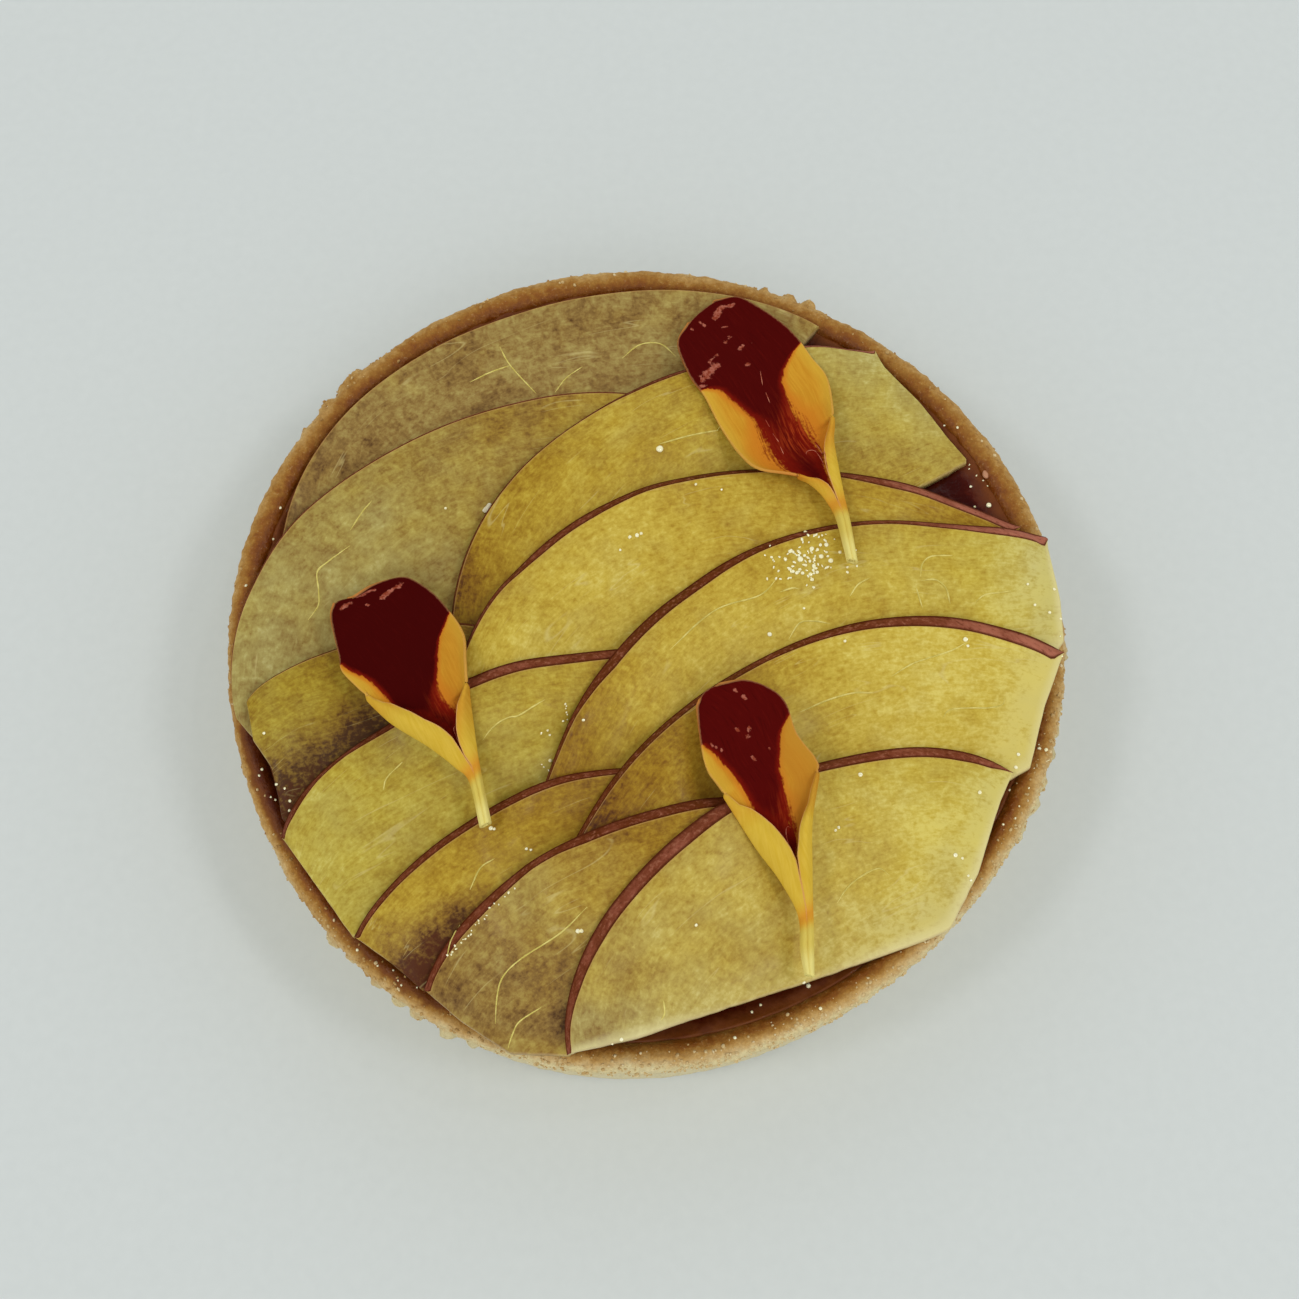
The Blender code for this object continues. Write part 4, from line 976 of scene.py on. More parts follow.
# Lengths are in millimetres. left and right are the margins from the tip of the blade to the end of the
# stalk. left_roll and right_roll give, for shares of the petal's length, how far across the free margin
# lies, from -1 at the left side to 1 at the right. maroon_left and maroon_right bound the maroon in the
# same way, and fray is how ragged its bound is. depth is how light the maroon is, ochre how dark the right
# side, and ember the place, reach and strength of a glow in it, by share of length and width. worn gives
# the ends and the reach of each line where the velvet is rubbed off.
PETALS = (
    dict(
        name="petal_upper", fold=1.4, depth=0.4, ochre=0, tip_bulge=0.15, ember=(0.53, 0.08, 0.18, 0.38, 0.9),
        left=((4.6, 32), (3.5, 29.5), (4.7, 25.6), (6.1, 23.4), (7.6, 20.4), (9.5, 17.2), (11.4, 15.5),
            (15.2, 14.8), (17.1, 13.4), (18.4, 11), (19.1, 8), (19.5, 6)),
        right=((7.3, 34.7), (9.7, 35.1), (12.3, 33.5), (14.8, 31.2), (16.9, 28.1), (18.4, 25.6), (18.7, 20.9),
            (18.6, 18.8), (19, 15.6), (19.6, 11), (20.3, 5.8)),
        left_roll=((0.68, -1), (0.71, -0.85), (0.73, -0.42), (0.755, -0.1), (0.785, 0.04), (0.82, 0.05),
            (0.86, 0)),
        right_roll=((0.55, 1), (0.6, 0.82), (0.638, 0.66), (0.678, 0.47), (0.728, 0.28), (0.778, 0.18),
            (0.82, 0.12), (0.86, 0.02)),
        maroon_left=((0.25, -1.3), (0.27, -0.88), (0.293, -0.71), (0.355, -0.56), (0.412, -0.45), (0.5, -0.47),
            (0.578, -0.54), (0.66, -0.8), (0.7, -0.75), (0.77, 0)),
        maroon_right=((0.29, 1.3), (0.31, 0.8), (0.338, 0.49), (0.368, 0.34), (0.412, 0.26), (0.458, 0.25),
            (0.53, 0.41), (0.598, 0.52), (0.65, 0.6), (0.77, 0.1)),
        fray=((0, 0.2), (0.4, 0.3), (0.5, 1.2), (0.6, 1), (0.7, 0.3)),
        worn=((7.3, 32.8, 7.9, 33.9, 0.5), (8, 34, 9.1, 34.3, 0.4), (6, 25.4, 7.2, 26.9, 0.75),
            (5.7, 32.3, 6.2, 31.8, 0.22), (6.6, 27.3, 7.3, 28.2, 0.22), (9.5, 28.9, 10, 29.5, 0.28),
            (10.3, 27.2, 10.5, 27.2, 0.28), (8.2, 29.7, 8.9, 30.6, 0.22), (10.9, 29.8, 11.1, 29.7, 0.22),
            (8, 31.6, 8.5, 31.7, 0.26), (4.9, 31.4, 5, 31.3, 0.22), (5.7, 24.4, 6.3, 24.6, 0.28)),
    ),
    dict(
        name="petal_left", fold=1.6, depth=0, ochre=0.3, tip_bulge=0.3, ember=(0.585, 0.05, 0.18, 0.3, 0.5),
        left=((-28.8, 1.6), (-29, 0), (-28, -3.7), (-27.6, -5.2), (-25.7, -7.2), (-22.6, -10.4), (-18.9, -12.7),
            (-16.7, -14.3), (-15.4, -15.6), (-14.3, -19.8)),
        right=((-27, 2.2), (-25.1, 3.5), (-22.7, 4.2), (-21, 3.6), (-18.8, 1.7), (-16.5, -1.7), (-16, -4.9),
            (-15.7, -7.7), (-15.1, -12), (-14.6, -14.7), (-13.5, -19.4)),
        left_roll=((0.34, -1), (0.41, -0.94), (0.448, -0.85), (0.47, -0.76), (0.543, -0.59), (0.598, -0.49),
            (0.648, -0.31), (0.702, -0.15), (0.76, -0.12), (0.82, -0.06), (0.86, 0)),
        right_roll=((0.6, 1), (0.622, 0.76), (0.64, 0.54), (0.66, 0.4), (0.693, 0.18), (0.73, 0.02),
            (0.768, -0.06), (0.82, 0.02), (0.86, 0.02)),
        maroon_left=((0.2, -1.3), (0.235, -0.97), (0.298, -0.85), (0.353, -0.77), (0.415, -0.75), (0.47, -0.76),
            (0.6, -0.6), (0.74, -0.05)),
        maroon_right=((0.33, 1.3), (0.36, 0.93), (0.395, 0.6), (0.435, 0.42), (0.483, 0.31), (0.545, 0.17),
            (0.58, 0.2), (0.63, 0.42), (0.66, 0.45), (0.74, 0)),
        fray=((0, 0.15), (0.5, 0.2), (0.58, 0.7), (0.7, 0.3)),
        worn=((-28.2, 1.1, -27.4, 1.6, 0.36), (-26.7, 2.3, -26.1, 2.5, 0.28), (-25.8, 2.8, -25.1, 3, 0.22),
            (-24.4, 2.1, -23.6, 2.8, 0.36), (-23.6, 2.8, -22.5, 3.6, 0.36), (-25.8, 1.5, -25.6, 1.4, 0.22)),
    ),
    dict(
        name="petal_lower", fold=1.7, depth=0.65, ochre=0.7, tip_bulge=0.4, ember=(0.5, 0.06, 0.16, 0.3, 0.5),
        left=((5.2, -8.6), (5, -9.8), (5.6, -14.6), (6.9, -17.1), (9.9, -21.9), (12.1, -24.8), (13.7, -27.8),
            (13.8, -30.8), (14.1, -32.9)),
        right=((7.1, -7), (9.4, -6.6), (11.6, -7.4), (13, -8.8), (13.9, -11.7), (15.5, -14.1), (15.6, -15.5),
            (14.9, -19.6), (14.8, -23.9), (14.8, -28.2), (14.7, -33.1)),
        left_roll=((0.34, -1), (0.41, -0.85), (0.44, -0.66), (0.475, -0.52), (0.525, -0.33), (0.58, -0.14),
            (0.618, -0.02), (0.66, 0.06), (0.75, 0.03), (0.82, 0), (0.86, 0)),
        right_roll=((0.42, 1), (0.483, 0.87), (0.525, 0.83), (0.55, 0.69), (0.58, 0.53), (0.618, 0.4),
            (0.65, 0.22), (0.698, 0.13), (0.755, 0.08), (0.82, 0.04), (0.86, 0.02)),
        maroon_left=((0.14, -1.3), (0.165, -0.95), (0.222, -0.74), (0.293, -0.62), (0.353, -0.62),
            (0.445, -0.61), (0.55, -0.4), (0.66, 0.06)),
        maroon_right=((0.21, 1.3), (0.248, 0.98), (0.27, 0.75), (0.318, 0.54), (0.372, 0.25), (0.428, 0.16),
            (0.49, 0.25), (0.568, 0.4), (0.6, 0.43), (0.66, 0.1)),
        fray=((0, 0.15), (0.42, 0.25), (0.52, 0.8), (0.62, 0.3)),
        worn=((8.5, -7.5, 8.6, -7.7, 0.22), (9.2, -8.1, 9.4, -8.4, 0.22), (8.5, -11.3, 8.6, -11.4, 0.24),
            (9.5, -11, 9.6, -11.4, 0.24), (9.5, -11.9, 9.6, -12.1, 0.22), (9.9, -13.9, 10, -14.2, 0.22),
            (6.2, -12.7, 6.3, -12.9, 0.2), (6.6, -13, 6.7, -13.2, 0.2), (7.1, -13.3, 7.2, -13.4, 0.2),
            (11.4, -13.2, 11.5, -13, 0.22)),
    ),
)
PETAL_FINE_ROWS = 200
PETAL_FINE_COLUMNS = 80
PETAL_THICKNESS = 0.00026
PETAL_LENGTH = 0.03
STALK_HEIGHT = 0.0009
# Shares of the petal's length: where its fold is highest and how far it reaches, where the blade's own
# rise ends, where the tip rounds off, where the stalk stands and is coloured, and where the throat is
FOLD_AT = 0.6
FOLD_REACH = 0.17
FOLD_ROUNDNESS = 1.6
BLADE_RISE = 0.25
BLADE_END = 0.5
TIP_SHARE = 0.07
STALK_SHAPE = (0.78, 0.88)
STALK_COLOUR = (0.84, 0.97)
THROAT_AT = 0.825
THROAT_REACH = 0.032
THROAT_TINT = 0.8
FOLDED_AFTER = 0.16
ROLLED = (1, 0.6)
LIP_FLAT = 0.25
LIP_ROLLED = 0.50
TIP_ROWS = 8
NARROWEST = 0.001
RIPPLE = 0.00005
RIPPLE_SIZE = 0.0022

paint, tree, shader = new_material("ray_petal")
where = place(tree)
maroon, fray = attribute(tree, "maroon"), attribute(tree, "fray")
worn, from_edge = attribute(tree, "worn"), attribute(tree, "from_edge")
depth, stalk = attribute(tree, "depth"), attribute(tree, "stalk")
follow = {"X": attribute(tree, "side"), "Y": attribute(tree, "down_petal"), "Z": 0.0}
follow = add(tree, "ShaderNodeCombineXYZ", follow).outputs[0]
rib = speckle(follow, 0.00022, 3.0, 0.6, (1.0, 0.09, 1.0))
fleck = speckle(where, 0.00035, 3.0, 0.65)
patch = speckle(where, 0.0006, 4.0, 0.7)
bound = count("DIVIDE", maroon, fray)
inside = uneven(count("MULTIPLY_ADD", count("SUBTRACT", rib, 0.5), 2.2, bound), where, 0.00035, 1.6, 3.0)
ribbed = between(rib, 0.3, 0.7)
orange = blended(ribbed, seen(198, 136, 36), seen(210, 152, 46))
orange = blended(between(from_edge, 0.0002, 0.0016, 0.65, 0.0), orange, seen(212, 170, 58))
orange = blended(between(bound, -3.0, -0.3), orange, seen(204, 124, 34))
orange = blended(attribute(tree, "ochre"), orange, seen(186, 122, 38))
velvet = blended(depth, seen(66, 4, 3), seen(90, 10, 8))
dark = blended(between(inside, 0.2, 3.0), seen(118, 20, 8), velvet)
streaks = count("MULTIPLY_ADD", depth, 0.8, 0.2)
dark = blended(count("MULTIPLY", streaks, between(rib, 0.52, 0.75, 0.0, 0.5)), dark, seen(104, 18, 12))
dark = blended(count("MULTIPLY", streaks, between(rib, 0.30, 0.45, 0.5, 0.0)), dark, seen(52, 2, 2))
ember = count("MULTIPLY", attribute(tree, "ember"), between(rib, 0.46, 0.62))
dark = blended(ember, dark, seen(168, 62, 24))
face = blended(between(inside, -0.5, 0.5), orange, dark)
rubbed = uneven(worn, where, 0.0006, 2.6, 4.0)
rubbed = count("MULTIPLY", between(rubbed, 0.35, 0.65), between(worn, 0.02, 0.25))
scuffed = blended(between(fleck, 0.40, 0.60), seen(150, 66, 44), seen(190, 112, 92))
face = blended(count("MULTIPLY", rubbed, 0.75), face, scuffed)
back = blended(ribbed, seen(210, 172, 54), seen(218, 182, 68))
back = blended(attribute(tree, "folded"), orange, back)
back = blended(attribute(tree, "throat"), back, seen(214, 140, 44))
both = blended(attribute(tree, "reverse"), face, back)
stem = blended(between(stalk, 0.5, 1.0), seen(216, 192, 92), seen(232, 216, 130))
both = blended(between(stalk, 0.0, 0.3), both, stem)
edge_shade_and_lip = uneven(from_edge, where, 0.00035, 0.00022, 3.0)
edge_shade_and_lip = count("MULTIPLY", between(edge_shade_and_lip, 0.00004, 0.00016, 1.0, 0.0), attribute(tree, "lip"))
both = blended(edge_shade_and_lip, both, blended(patch, seen(206, 140, 84), seen(230, 176, 120)))
fill(shader, {
    "Base Color": both, "Roughness": 0.80, "Specular IOR Level": 0.02, "Normal": dented(rib, 0.00003, 0.6),
})
petal_paint = paint


def fold_height(shape, down):
    """Height of a petal's fold at shares of its length."""
    hump = np.exp(-(((down - FOLD_AT) / FOLD_REACH) ** 2))
    return shape["fold"] * MM * (hump + BLADE_RISE * way_from(down, BLADE_END, 0))


def smooth_margin(points, rows):
    """Rows at even steps along the smooth curve through a margin's points, which are in millimetres."""
    points = np.multiply(points, MM)
    return along(curve_at(points, np.linspace(0, len(points) - 1, 12 * len(points))), rows)


def from_line(plan, start, end):
    """Distance of each point of a plan from the line between two points."""
    way = np.subtract(end, start)
    share = np.clip((plan - start) @ way / (way @ way), 0, 1)
    return np.hypot(*np.moveaxis(plan - start - share[..., None] * way, 2, 0))


def section_points(left, right, height):
    """Rolled section at each row: nine points of place across and height, from one margin to the other."""
    halves = []
    for free in (-left, right):
        roll = way_from(free, 1, 0.95)
        flat = ((0.55, 0.10), (0.82, 0.40), (0.93, 0.75), (1.0, 1.0))
        rolled = ((0.72, 0.02), (1.0, 0.45), (1.0 - 0.45 * (1 - free), 1.0), (free, 0.80))
        half = []
        for (x0, h0), (x1, h1) in zip(flat, rolled):
            half.append(np.stack([x0 + (x1 - x0) * roll, (h0 + (h1 - h0) * roll) * height], -1))
        halves.append(half)
    first = [point * (-1, 1) for point in halves[0][::-1]]
    middle = np.zeros_like(first[0])
    return np.stack([*first, middle, *halves[1]], 1)


petals = []
rows, columns = PETAL_FINE_ROWS + 1, PETAL_FINE_COLUMNS + 1
for number, shape in enumerate(PETALS):
    # Under side of the solid, without the fold that lifts it
    margins = [along(np.multiply(shape[side], MM), PETAL_ROWS + 1) for side in ("left", "right")]
    base = solid_heights(shape["name"], lerp(*margins, np.linspace(0, 1, PETAL_COLUMNS + 1)), False)
    down = np.linspace(0, 1, PETAL_ROWS + 1)[:, None]
    beside = np.abs(np.linspace(-1, 1, PETAL_COLUMNS + 1))[None]
    base = base - fold_height(shape, down) * beside**FOLD_ROUNDNESS

    # Middle surface of the blade, which is rolled at its margins and closed to a tube at the stalk
    down = np.linspace(0, 1, rows)
    stalk = way_from(down, *STALK_SHAPE)
    height = np.maximum(fold_height(shape, down), STALK_HEIGHT * stalk)
    left_roll, right_roll = table_at(shape["left_roll"], down), table_at(shape["right_roll"], down)
    section = section_points(left_roll, right_roll, height)
    spots = np.linspace(0, section.shape[1] - 1, columns)
    across, up = np.moveaxis(curve_at(np.moveaxis(section, 1, 0), spots), 2, 0)
    across, up = across.T, np.maximum(up.T, 0)
    left, right = smooth_margin(shape["left"], rows), smooth_margin(shape["right"], rows)
    plan = lerp(left, right, (across + 1) / 2)
    ahead = left[0] + right[0] - left[TIP_ROWS] - right[TIP_ROWS]
    near_tip = way_from(down, TIP_SHARE, 0)[:, None] ** 2 * np.clip(1 - across**2, 0, 1)
    plan = plan + ahead / np.hypot(*ahead) * shape["tip_bulge"] * MM * near_tip[..., None]
    floor = surface_at(base, down * PETAL_ROWS, (np.clip(across, -1, 1) + 1) / 2 * PETAL_COLUMNS)
    middle = np.dstack([plan, floor + up + PETAL_THICKNESS / 2])
    ripple = RIPPLE * rough(np.dstack([plan, 0 * floor + number]), RIPPLE_SIZE, 2)
    middle[..., 2] += ripple * (1 - stalk[:, None])
    normal = np.cross(np.gradient(middle, axis=1), -np.gradient(middle, axis=0))
    normal /= np.maximum(np.linalg.norm(normal, axis=2), 1e-12)[..., None]
    sides = [(middle + normal * PETAL_THICKNESS * half).reshape(-1, 3) for half in (0.5, -0.5)]
    piece = mesh_piece("ray_" + shape["name"], np.concatenate(sides), sheet_faces(rows, columns), [petal_paint])

    half_width = apart(left, right) / 2
    down = down[:, None]
    inside = np.minimum(across - table_at(shape["maroon_left"], down),
                        table_at(shape["maroon_right"], down) - across) * half_width
    inside = np.minimum(inside, (shape["maroon_left"][-1][0] - down) * PETAL_LENGTH)
    worn = 0 * inside
    for x0, y0, x1, y1, size in shape["worn"]:
        worn = np.maximum(worn, 1 - from_line(plan / MM, (x0, y0), (x1, y1)) / size)
    length = down * PETAL_LENGTH
    run = np.cumsum(np.linalg.norm(np.diff(middle, axis=1, prepend=middle[:, :1]), axis=2), axis=1)
    free = np.where(across < 0, -left_roll[:, None], right_roll[:, None])
    begins = np.where(across < 0, shape["left_roll"][0][0], shape["right_roll"][0][0])
    rolled = way_from(free, *ROLLED)
    t, t_reach, a, a_reach, strength = shape["ember"]
    keep_on_both_sides(piece, inside.shape, {
        "maroon": inside,
        "fray": table_at(shape["fray"], down) * MM,
        "from_edge": np.minimum(np.minimum(run, run[:, -1:] - run), length),
        "lip": (LIP_FLAT + LIP_ROLLED * rolled) * (1 - stalk[:, None]),
        "folded": rolled * way_from(down, begins, begins + FOLDED_AFTER),
        "down_petal": length + NEXT_PATTERN * number,
        "side": across * np.maximum(half_width, NARROWEST),
        "worn": np.clip(worn, 0, 1),
        "ember": strength * np.exp(-(((down - t) / t_reach) ** 2) - ((across - a) / a_reach) ** 2),
        "depth": shape["depth"],
        "ochre": shape["ochre"] * way_from(across, 0, 0.5),
        "throat": THROAT_TINT * np.exp(-(((down - THROAT_AT) / THROAT_REACH) ** 2)),
        "stalk": way_from(down, *STALK_COLOUR),
    })
    keep_value(piece, "reverse", np.repeat([0, 1], inside.size))
    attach(piece, "root")
    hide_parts(shape["name"])
    petals.append(piece)


# ---------------------------------------------------------------------------------------------------
# Threads
# Pale strands of the peach's own flesh that the knife drew out and laid on the slices, and the fine hairs
# along the petals' middles. Each one lies half sunk in the wet surface below it.
# ---------------------------------------------------------------------------------------------------

THREAD_STEP = 0.00022
THREAD_SIDES = 6
THREAD_RADIUS = 0.000080
HAIR_RADIUS = 0.000042
# How deep a thread lies in what is below it, and how thick it is at its ends and in its swellings, by radius
THREAD_SINK = 0.25
THREAD_END = 0.35
THREAD_TAPER = 4
THREAD_SWELL = 0.35
THREAD_SWELL_SIZE = 0.0007
ABOVE_ALL = 0.05
# Way of each strand of flesh from above, in millimetres
FLESH_THREADS = (
    ((-14.5, 30.6), (-13.4, 28.6), (-10.7, 25.4)),
    ((-13.4, 28.6), (-15.4, 27.8), (-17.4, 26.7)),
    ((-8.8, 25.5), (-7.7, 27.1), (-6.1, 28.4)),
    ((-2.1, 29.4), (-0.3, 30.9), (1.8, 31), (3.4, 29.6)),
    ((-31.8, 1), (-30.9, 2.4), (-30.9, 3.8), (-31.1, 5.6), (-30.2, 6.6), (-29, 7.6), (-28.1, 8.3)),
    ((-28.2, 9.9), (-27.2, 11.8), (-26.3, 13.1)),
    ((1.7, 18.6), (4.7, 19.6), (7.6, 20.4)),
    ((-14.5, -11.6), (-13.8, -10.8), (-12.9, -10.1), (-12, -9.7), (-11.1, -9.5), (-8.8, -8.1)),
    ((-23.6, -15.8), (-23.3, -14.7), (-21.9, -13.3)),
    ((26.6, 5.1), (26.8, 6.3), (27.7, 7), (29.7, 7.1)),
    ((26.6, 4.7), (28, 4.8), (29, 4), (29.4, 2.5)),
    ((26.2, 4), (26.8, 2.2)),
    ((31.7, 2.6), (32.7, 3.3), (34.4, 3.5), (36, 3.7)),
    ((13.9, -0.9), (15, 0.7), (16.5, 0.9), (17.9, 0.7)),
    ((19.8, 3.2), (20.6, 4.3), (21.7, 4.9)),
    ((13.1, 3.5), (14.3, 3.9), (15, 3.8)),
    ((2.6, -2.8), (6.9, 1.6), (11.2, 3.2), (13.1, 5.1)),
    ((-17, -30.9), (-16.8, -29.5), (-16.2, -28)),
    ((-15.4, -24.9), (-14.5, -23), (-13.2, -22.2)),
    ((14.7, -8.3), (17.3, -7.1), (19.7, -6.4), (21.6, -6.3)),
    ((28.1, -8.7), (28.8, -7.9), (30.9, -7.8), (32.1, -7.9), (33.5, -7.7), (33.7, -7.1)),
    ((23.4, -4.8), (25.6, -3.5), (29, -2.4), (30.6, -1.6)),
    ((-4.7, -27.1), (-6.9, -29.1), (-10.5, -31.2), (-12.1, -32.7), (-12.6, -34.4), (-12.7, -36.7)),
    ((-8.7, -35.3), (-10.6, -36.5), (-11.2, -37.6), (-11.6, -38.9)),
    ((17.4, -26.2), (18.3, -24.9), (19.6, -23.8), (21.3, -23), (22.3, -23.6)),
    ((1.9, -35), (2, -36), (1.7, -36.6)),
)
# Way of each hair and of each pale dash of a midrib, in millimetres
PETAL_HAIRS = (
    ((16, 17.7), (16.1, 18), (16.5, 18.1), (16.9, 18), (17.3, 17.4), (17.6, 16.7), (17.7, 16.1)),
    ((16.9, 18.9), (17.3, 18.3), (17.7, 17.3), (17.8, 16.4), (18, 15.3)),
    ((11.7, 26.6), (11.9, 25.1)),
    ((12.2, 24.3), (12.6, 23.2)),
    ((12.1, 21.4), (12.5, 20.6)),
    ((12.8, 19.9), (13.4, 19)),
    ((13.5, 18.5), (13.8, 17.7)),
    ((13.1, -20.2), (12.8, -20.1), (12.7, -20.4), (12.7, -20.8), (12.8, -21.3), (13, -22)),
    ((-16.9, -10.6), (-17, -10.8), (-17, -11), (-16.8, -11.5), (-16.6, -12.1)),
)


def seen_from_above(pieces):
    """Search tree over the faces of some pieces, for the height of what shows at a place."""
    corners, faces, start = [], [], 0
    for piece in pieces:
        mesh = piece.data
        corners += [vertex.co for vertex in mesh.vertices]
        faces += [[start + index for index in polygon.vertices] for polygon in mesh.polygons]
        start = len(corners)
    return BVHTree.FromPolygons(corners, faces)


def new_geometry_tree(name, inputs):
    """Geometry Nodes tree with one mesh in, one out, and named inputs; also its inputs and its last node."""
    tree = bpy.data.node_groups.new(name, "GeometryNodeTree")
    tree.interface.new_socket("Mesh", in_out="INPUT", socket_type="NodeSocketGeometry")
    for label, kind in inputs.items():
        tree.interface.new_socket(label, in_out="INPUT", socket_type="NodeSocket" + kind)
    tree.interface.new_socket("Mesh", in_out="OUTPUT", socket_type="NodeSocketGeometry")
    return tree, tree.nodes.new("NodeGroupInput").outputs, tree.nodes.new("NodeGroupOutput")


def grown(name, points, edges, values, tree, settings):
    """Piece that a Geometry Nodes tree makes from points and edges that carry values."""
    data = bpy.data.meshes.new(name + "_plan")
    data.from_pydata(np.asarray(points).tolist(), edges, [])
    plan = new_object(name + "_plan", data)
    for label, numbers in values.items():
        numbers = np.asarray(numbers, np.float32)
        kind, field = ("FLOAT_VECTOR", "vector") if numbers.ndim == 2 else ("FLOAT", "value")
        data.attributes.new(label, kind, "POINT").data.foreach_set(field, numbers.ravel())
    modifier = plan.modifiers.new("grow", "NODES")
    modifier.node_group = tree
    for item in tree.interface.items_tree:
        if item.in_out == "INPUT" and item.name in settings:
            modifier[item.identifier] = settings[item.name]
    made = plan.evaluated_get(bpy.context.evaluated_depsgraph_get())
    mesh = bpy.data.meshes.new_from_object(made)
    bpy.data.objects.remove(plan)
    bpy.data.meshes.remove(data)
    mesh.name = name
    mesh.materials.clear()
    mesh.materials.append(settings["Paint"])
    mesh.polygons.foreach_set("material_index", np.zeros(len(mesh.polygons), int))
    return new_object(name, mesh)


def fruit_height(x, y):
    """Height of what shows from above at a place."""
    return fruit.ray_cast(Vector((x, y, ABOVE_ALL)), Vector((0, 0, -1)))[0].z


def laid_threads(name, ways, radius, paint):
    """Strands that follow their ways over the fruit and thin out to their ends."""
    points, edges, thickness = [], [], []
    for way in ways:
        way = np.multiply(way, MM)
        fine = curve_at(way, np.linspace(0, len(way) - 1, 20 * len(way)))
        fine = along(fine, max(6, round(length_along(fine)[-1] / THREAD_STEP)))
        first = len(points)
        points += [(x, y, fruit_height(x, y) - radius * THREAD_SINK) for x, y in fine]
        edges += [(index, index + 1) for index in range(first, len(points) - 1)]
        taper = np.linspace(THREAD_END, THREAD_TAPER, len(fine))
        swell = 1 + THREAD_SWELL * rough(np.column_stack([fine, 0 * fine[:, 0]]), THREAD_SWELL_SIZE, 1)
        thickness += list(radius * np.minimum(np.minimum(taper, taper[::-1]), 1) * swell)
    settings = {"Sides": THREAD_SIDES, "Paint": paint}
    return grown(name, points, edges, {"thickness": thickness}, thread_tree, settings)


def named_value(tree, name, kind):
    """Value that the plan's points carry."""
    return add(tree, "GeometryNodeInputNamedAttribute", {"Name": name}, data_type=kind).outputs["Attribute"]


def finished(tree, geometry, given, result):
    """Last nodes of a tree: shade its geometry smooth, give it its material and put it out."""
    smooth = add(tree, "GeometryNodeSetShadeSmooth", {"Geometry": geometry}).outputs[0]
    inputs = {"Geometry": smooth, "Material": given["Paint"]}
    fill(result, {"Mesh": add(tree, "GeometryNodeSetMaterial", inputs).outputs[0]})


fruit = seen_from_above([*slices, *petals, jam, shell])
tree, given, result = new_geometry_tree("thread_along_a_way", {"Sides": "Int", "Paint": "Material"})
way = add(tree, "GeometryNodeMeshToCurve", {"Mesh": given["Mesh"]}).outputs[0]
section = {"Resolution": given["Sides"], "Radius": 1.0}
section = add(tree, "GeometryNodeCurvePrimitiveCircle", section).outputs[0]
tube = add(tree, "GeometryNodeCurveToMesh", {
    "Curve": way, "Profile Curve": section, "Scale": named_value(tree, "thickness", "FLOAT"), "Fill Caps": True,
}).outputs[0]
finished(tree, add(tree, "GeometryNodeRealizeInstances", {"Geometry": tube}).outputs[0], given, result)
thread_tree = tree


def speckled_paint(name, size, detail, colours, roughness, contrast=None, others=None):
    """Material whose colour and roughness change with spots of a size in metres."""
    paint, tree, shader = new_material(name)
    tone = speckle(place(tree), size, detail)
    share = between(tone, *contrast) if contrast else tone
    fill(shader, {"Base Color": blended(share, *colours), "Roughness": between(tone, 0.3, 0.7, *roughness)})
    fill(shader, others or {})
    return paint


paint = speckled_paint("peach_thread", 0.0009, 2.0, (seen(203, 185, 90), seen(228, 213, 124)), (0.35, 0.55),
                       (0.35, 0.65), {"Specular IOR Level": 0.2})
threads = laid_threads("flesh_threads", FLESH_THREADS, THREAD_RADIUS, paint)
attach(threads, "root")

paint = speckled_paint("petal_hair", 0.0006, 2.0, (seen(160, 70, 50), seen(206, 128, 102)), (0.6, 0.8),
                       (0.35, 0.65), {"Specular IOR Level": 0.05})
hairs = laid_threads("petal_hairs", PETAL_HAIRS, HAIR_RADIUS, paint)
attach(hairs, "root")
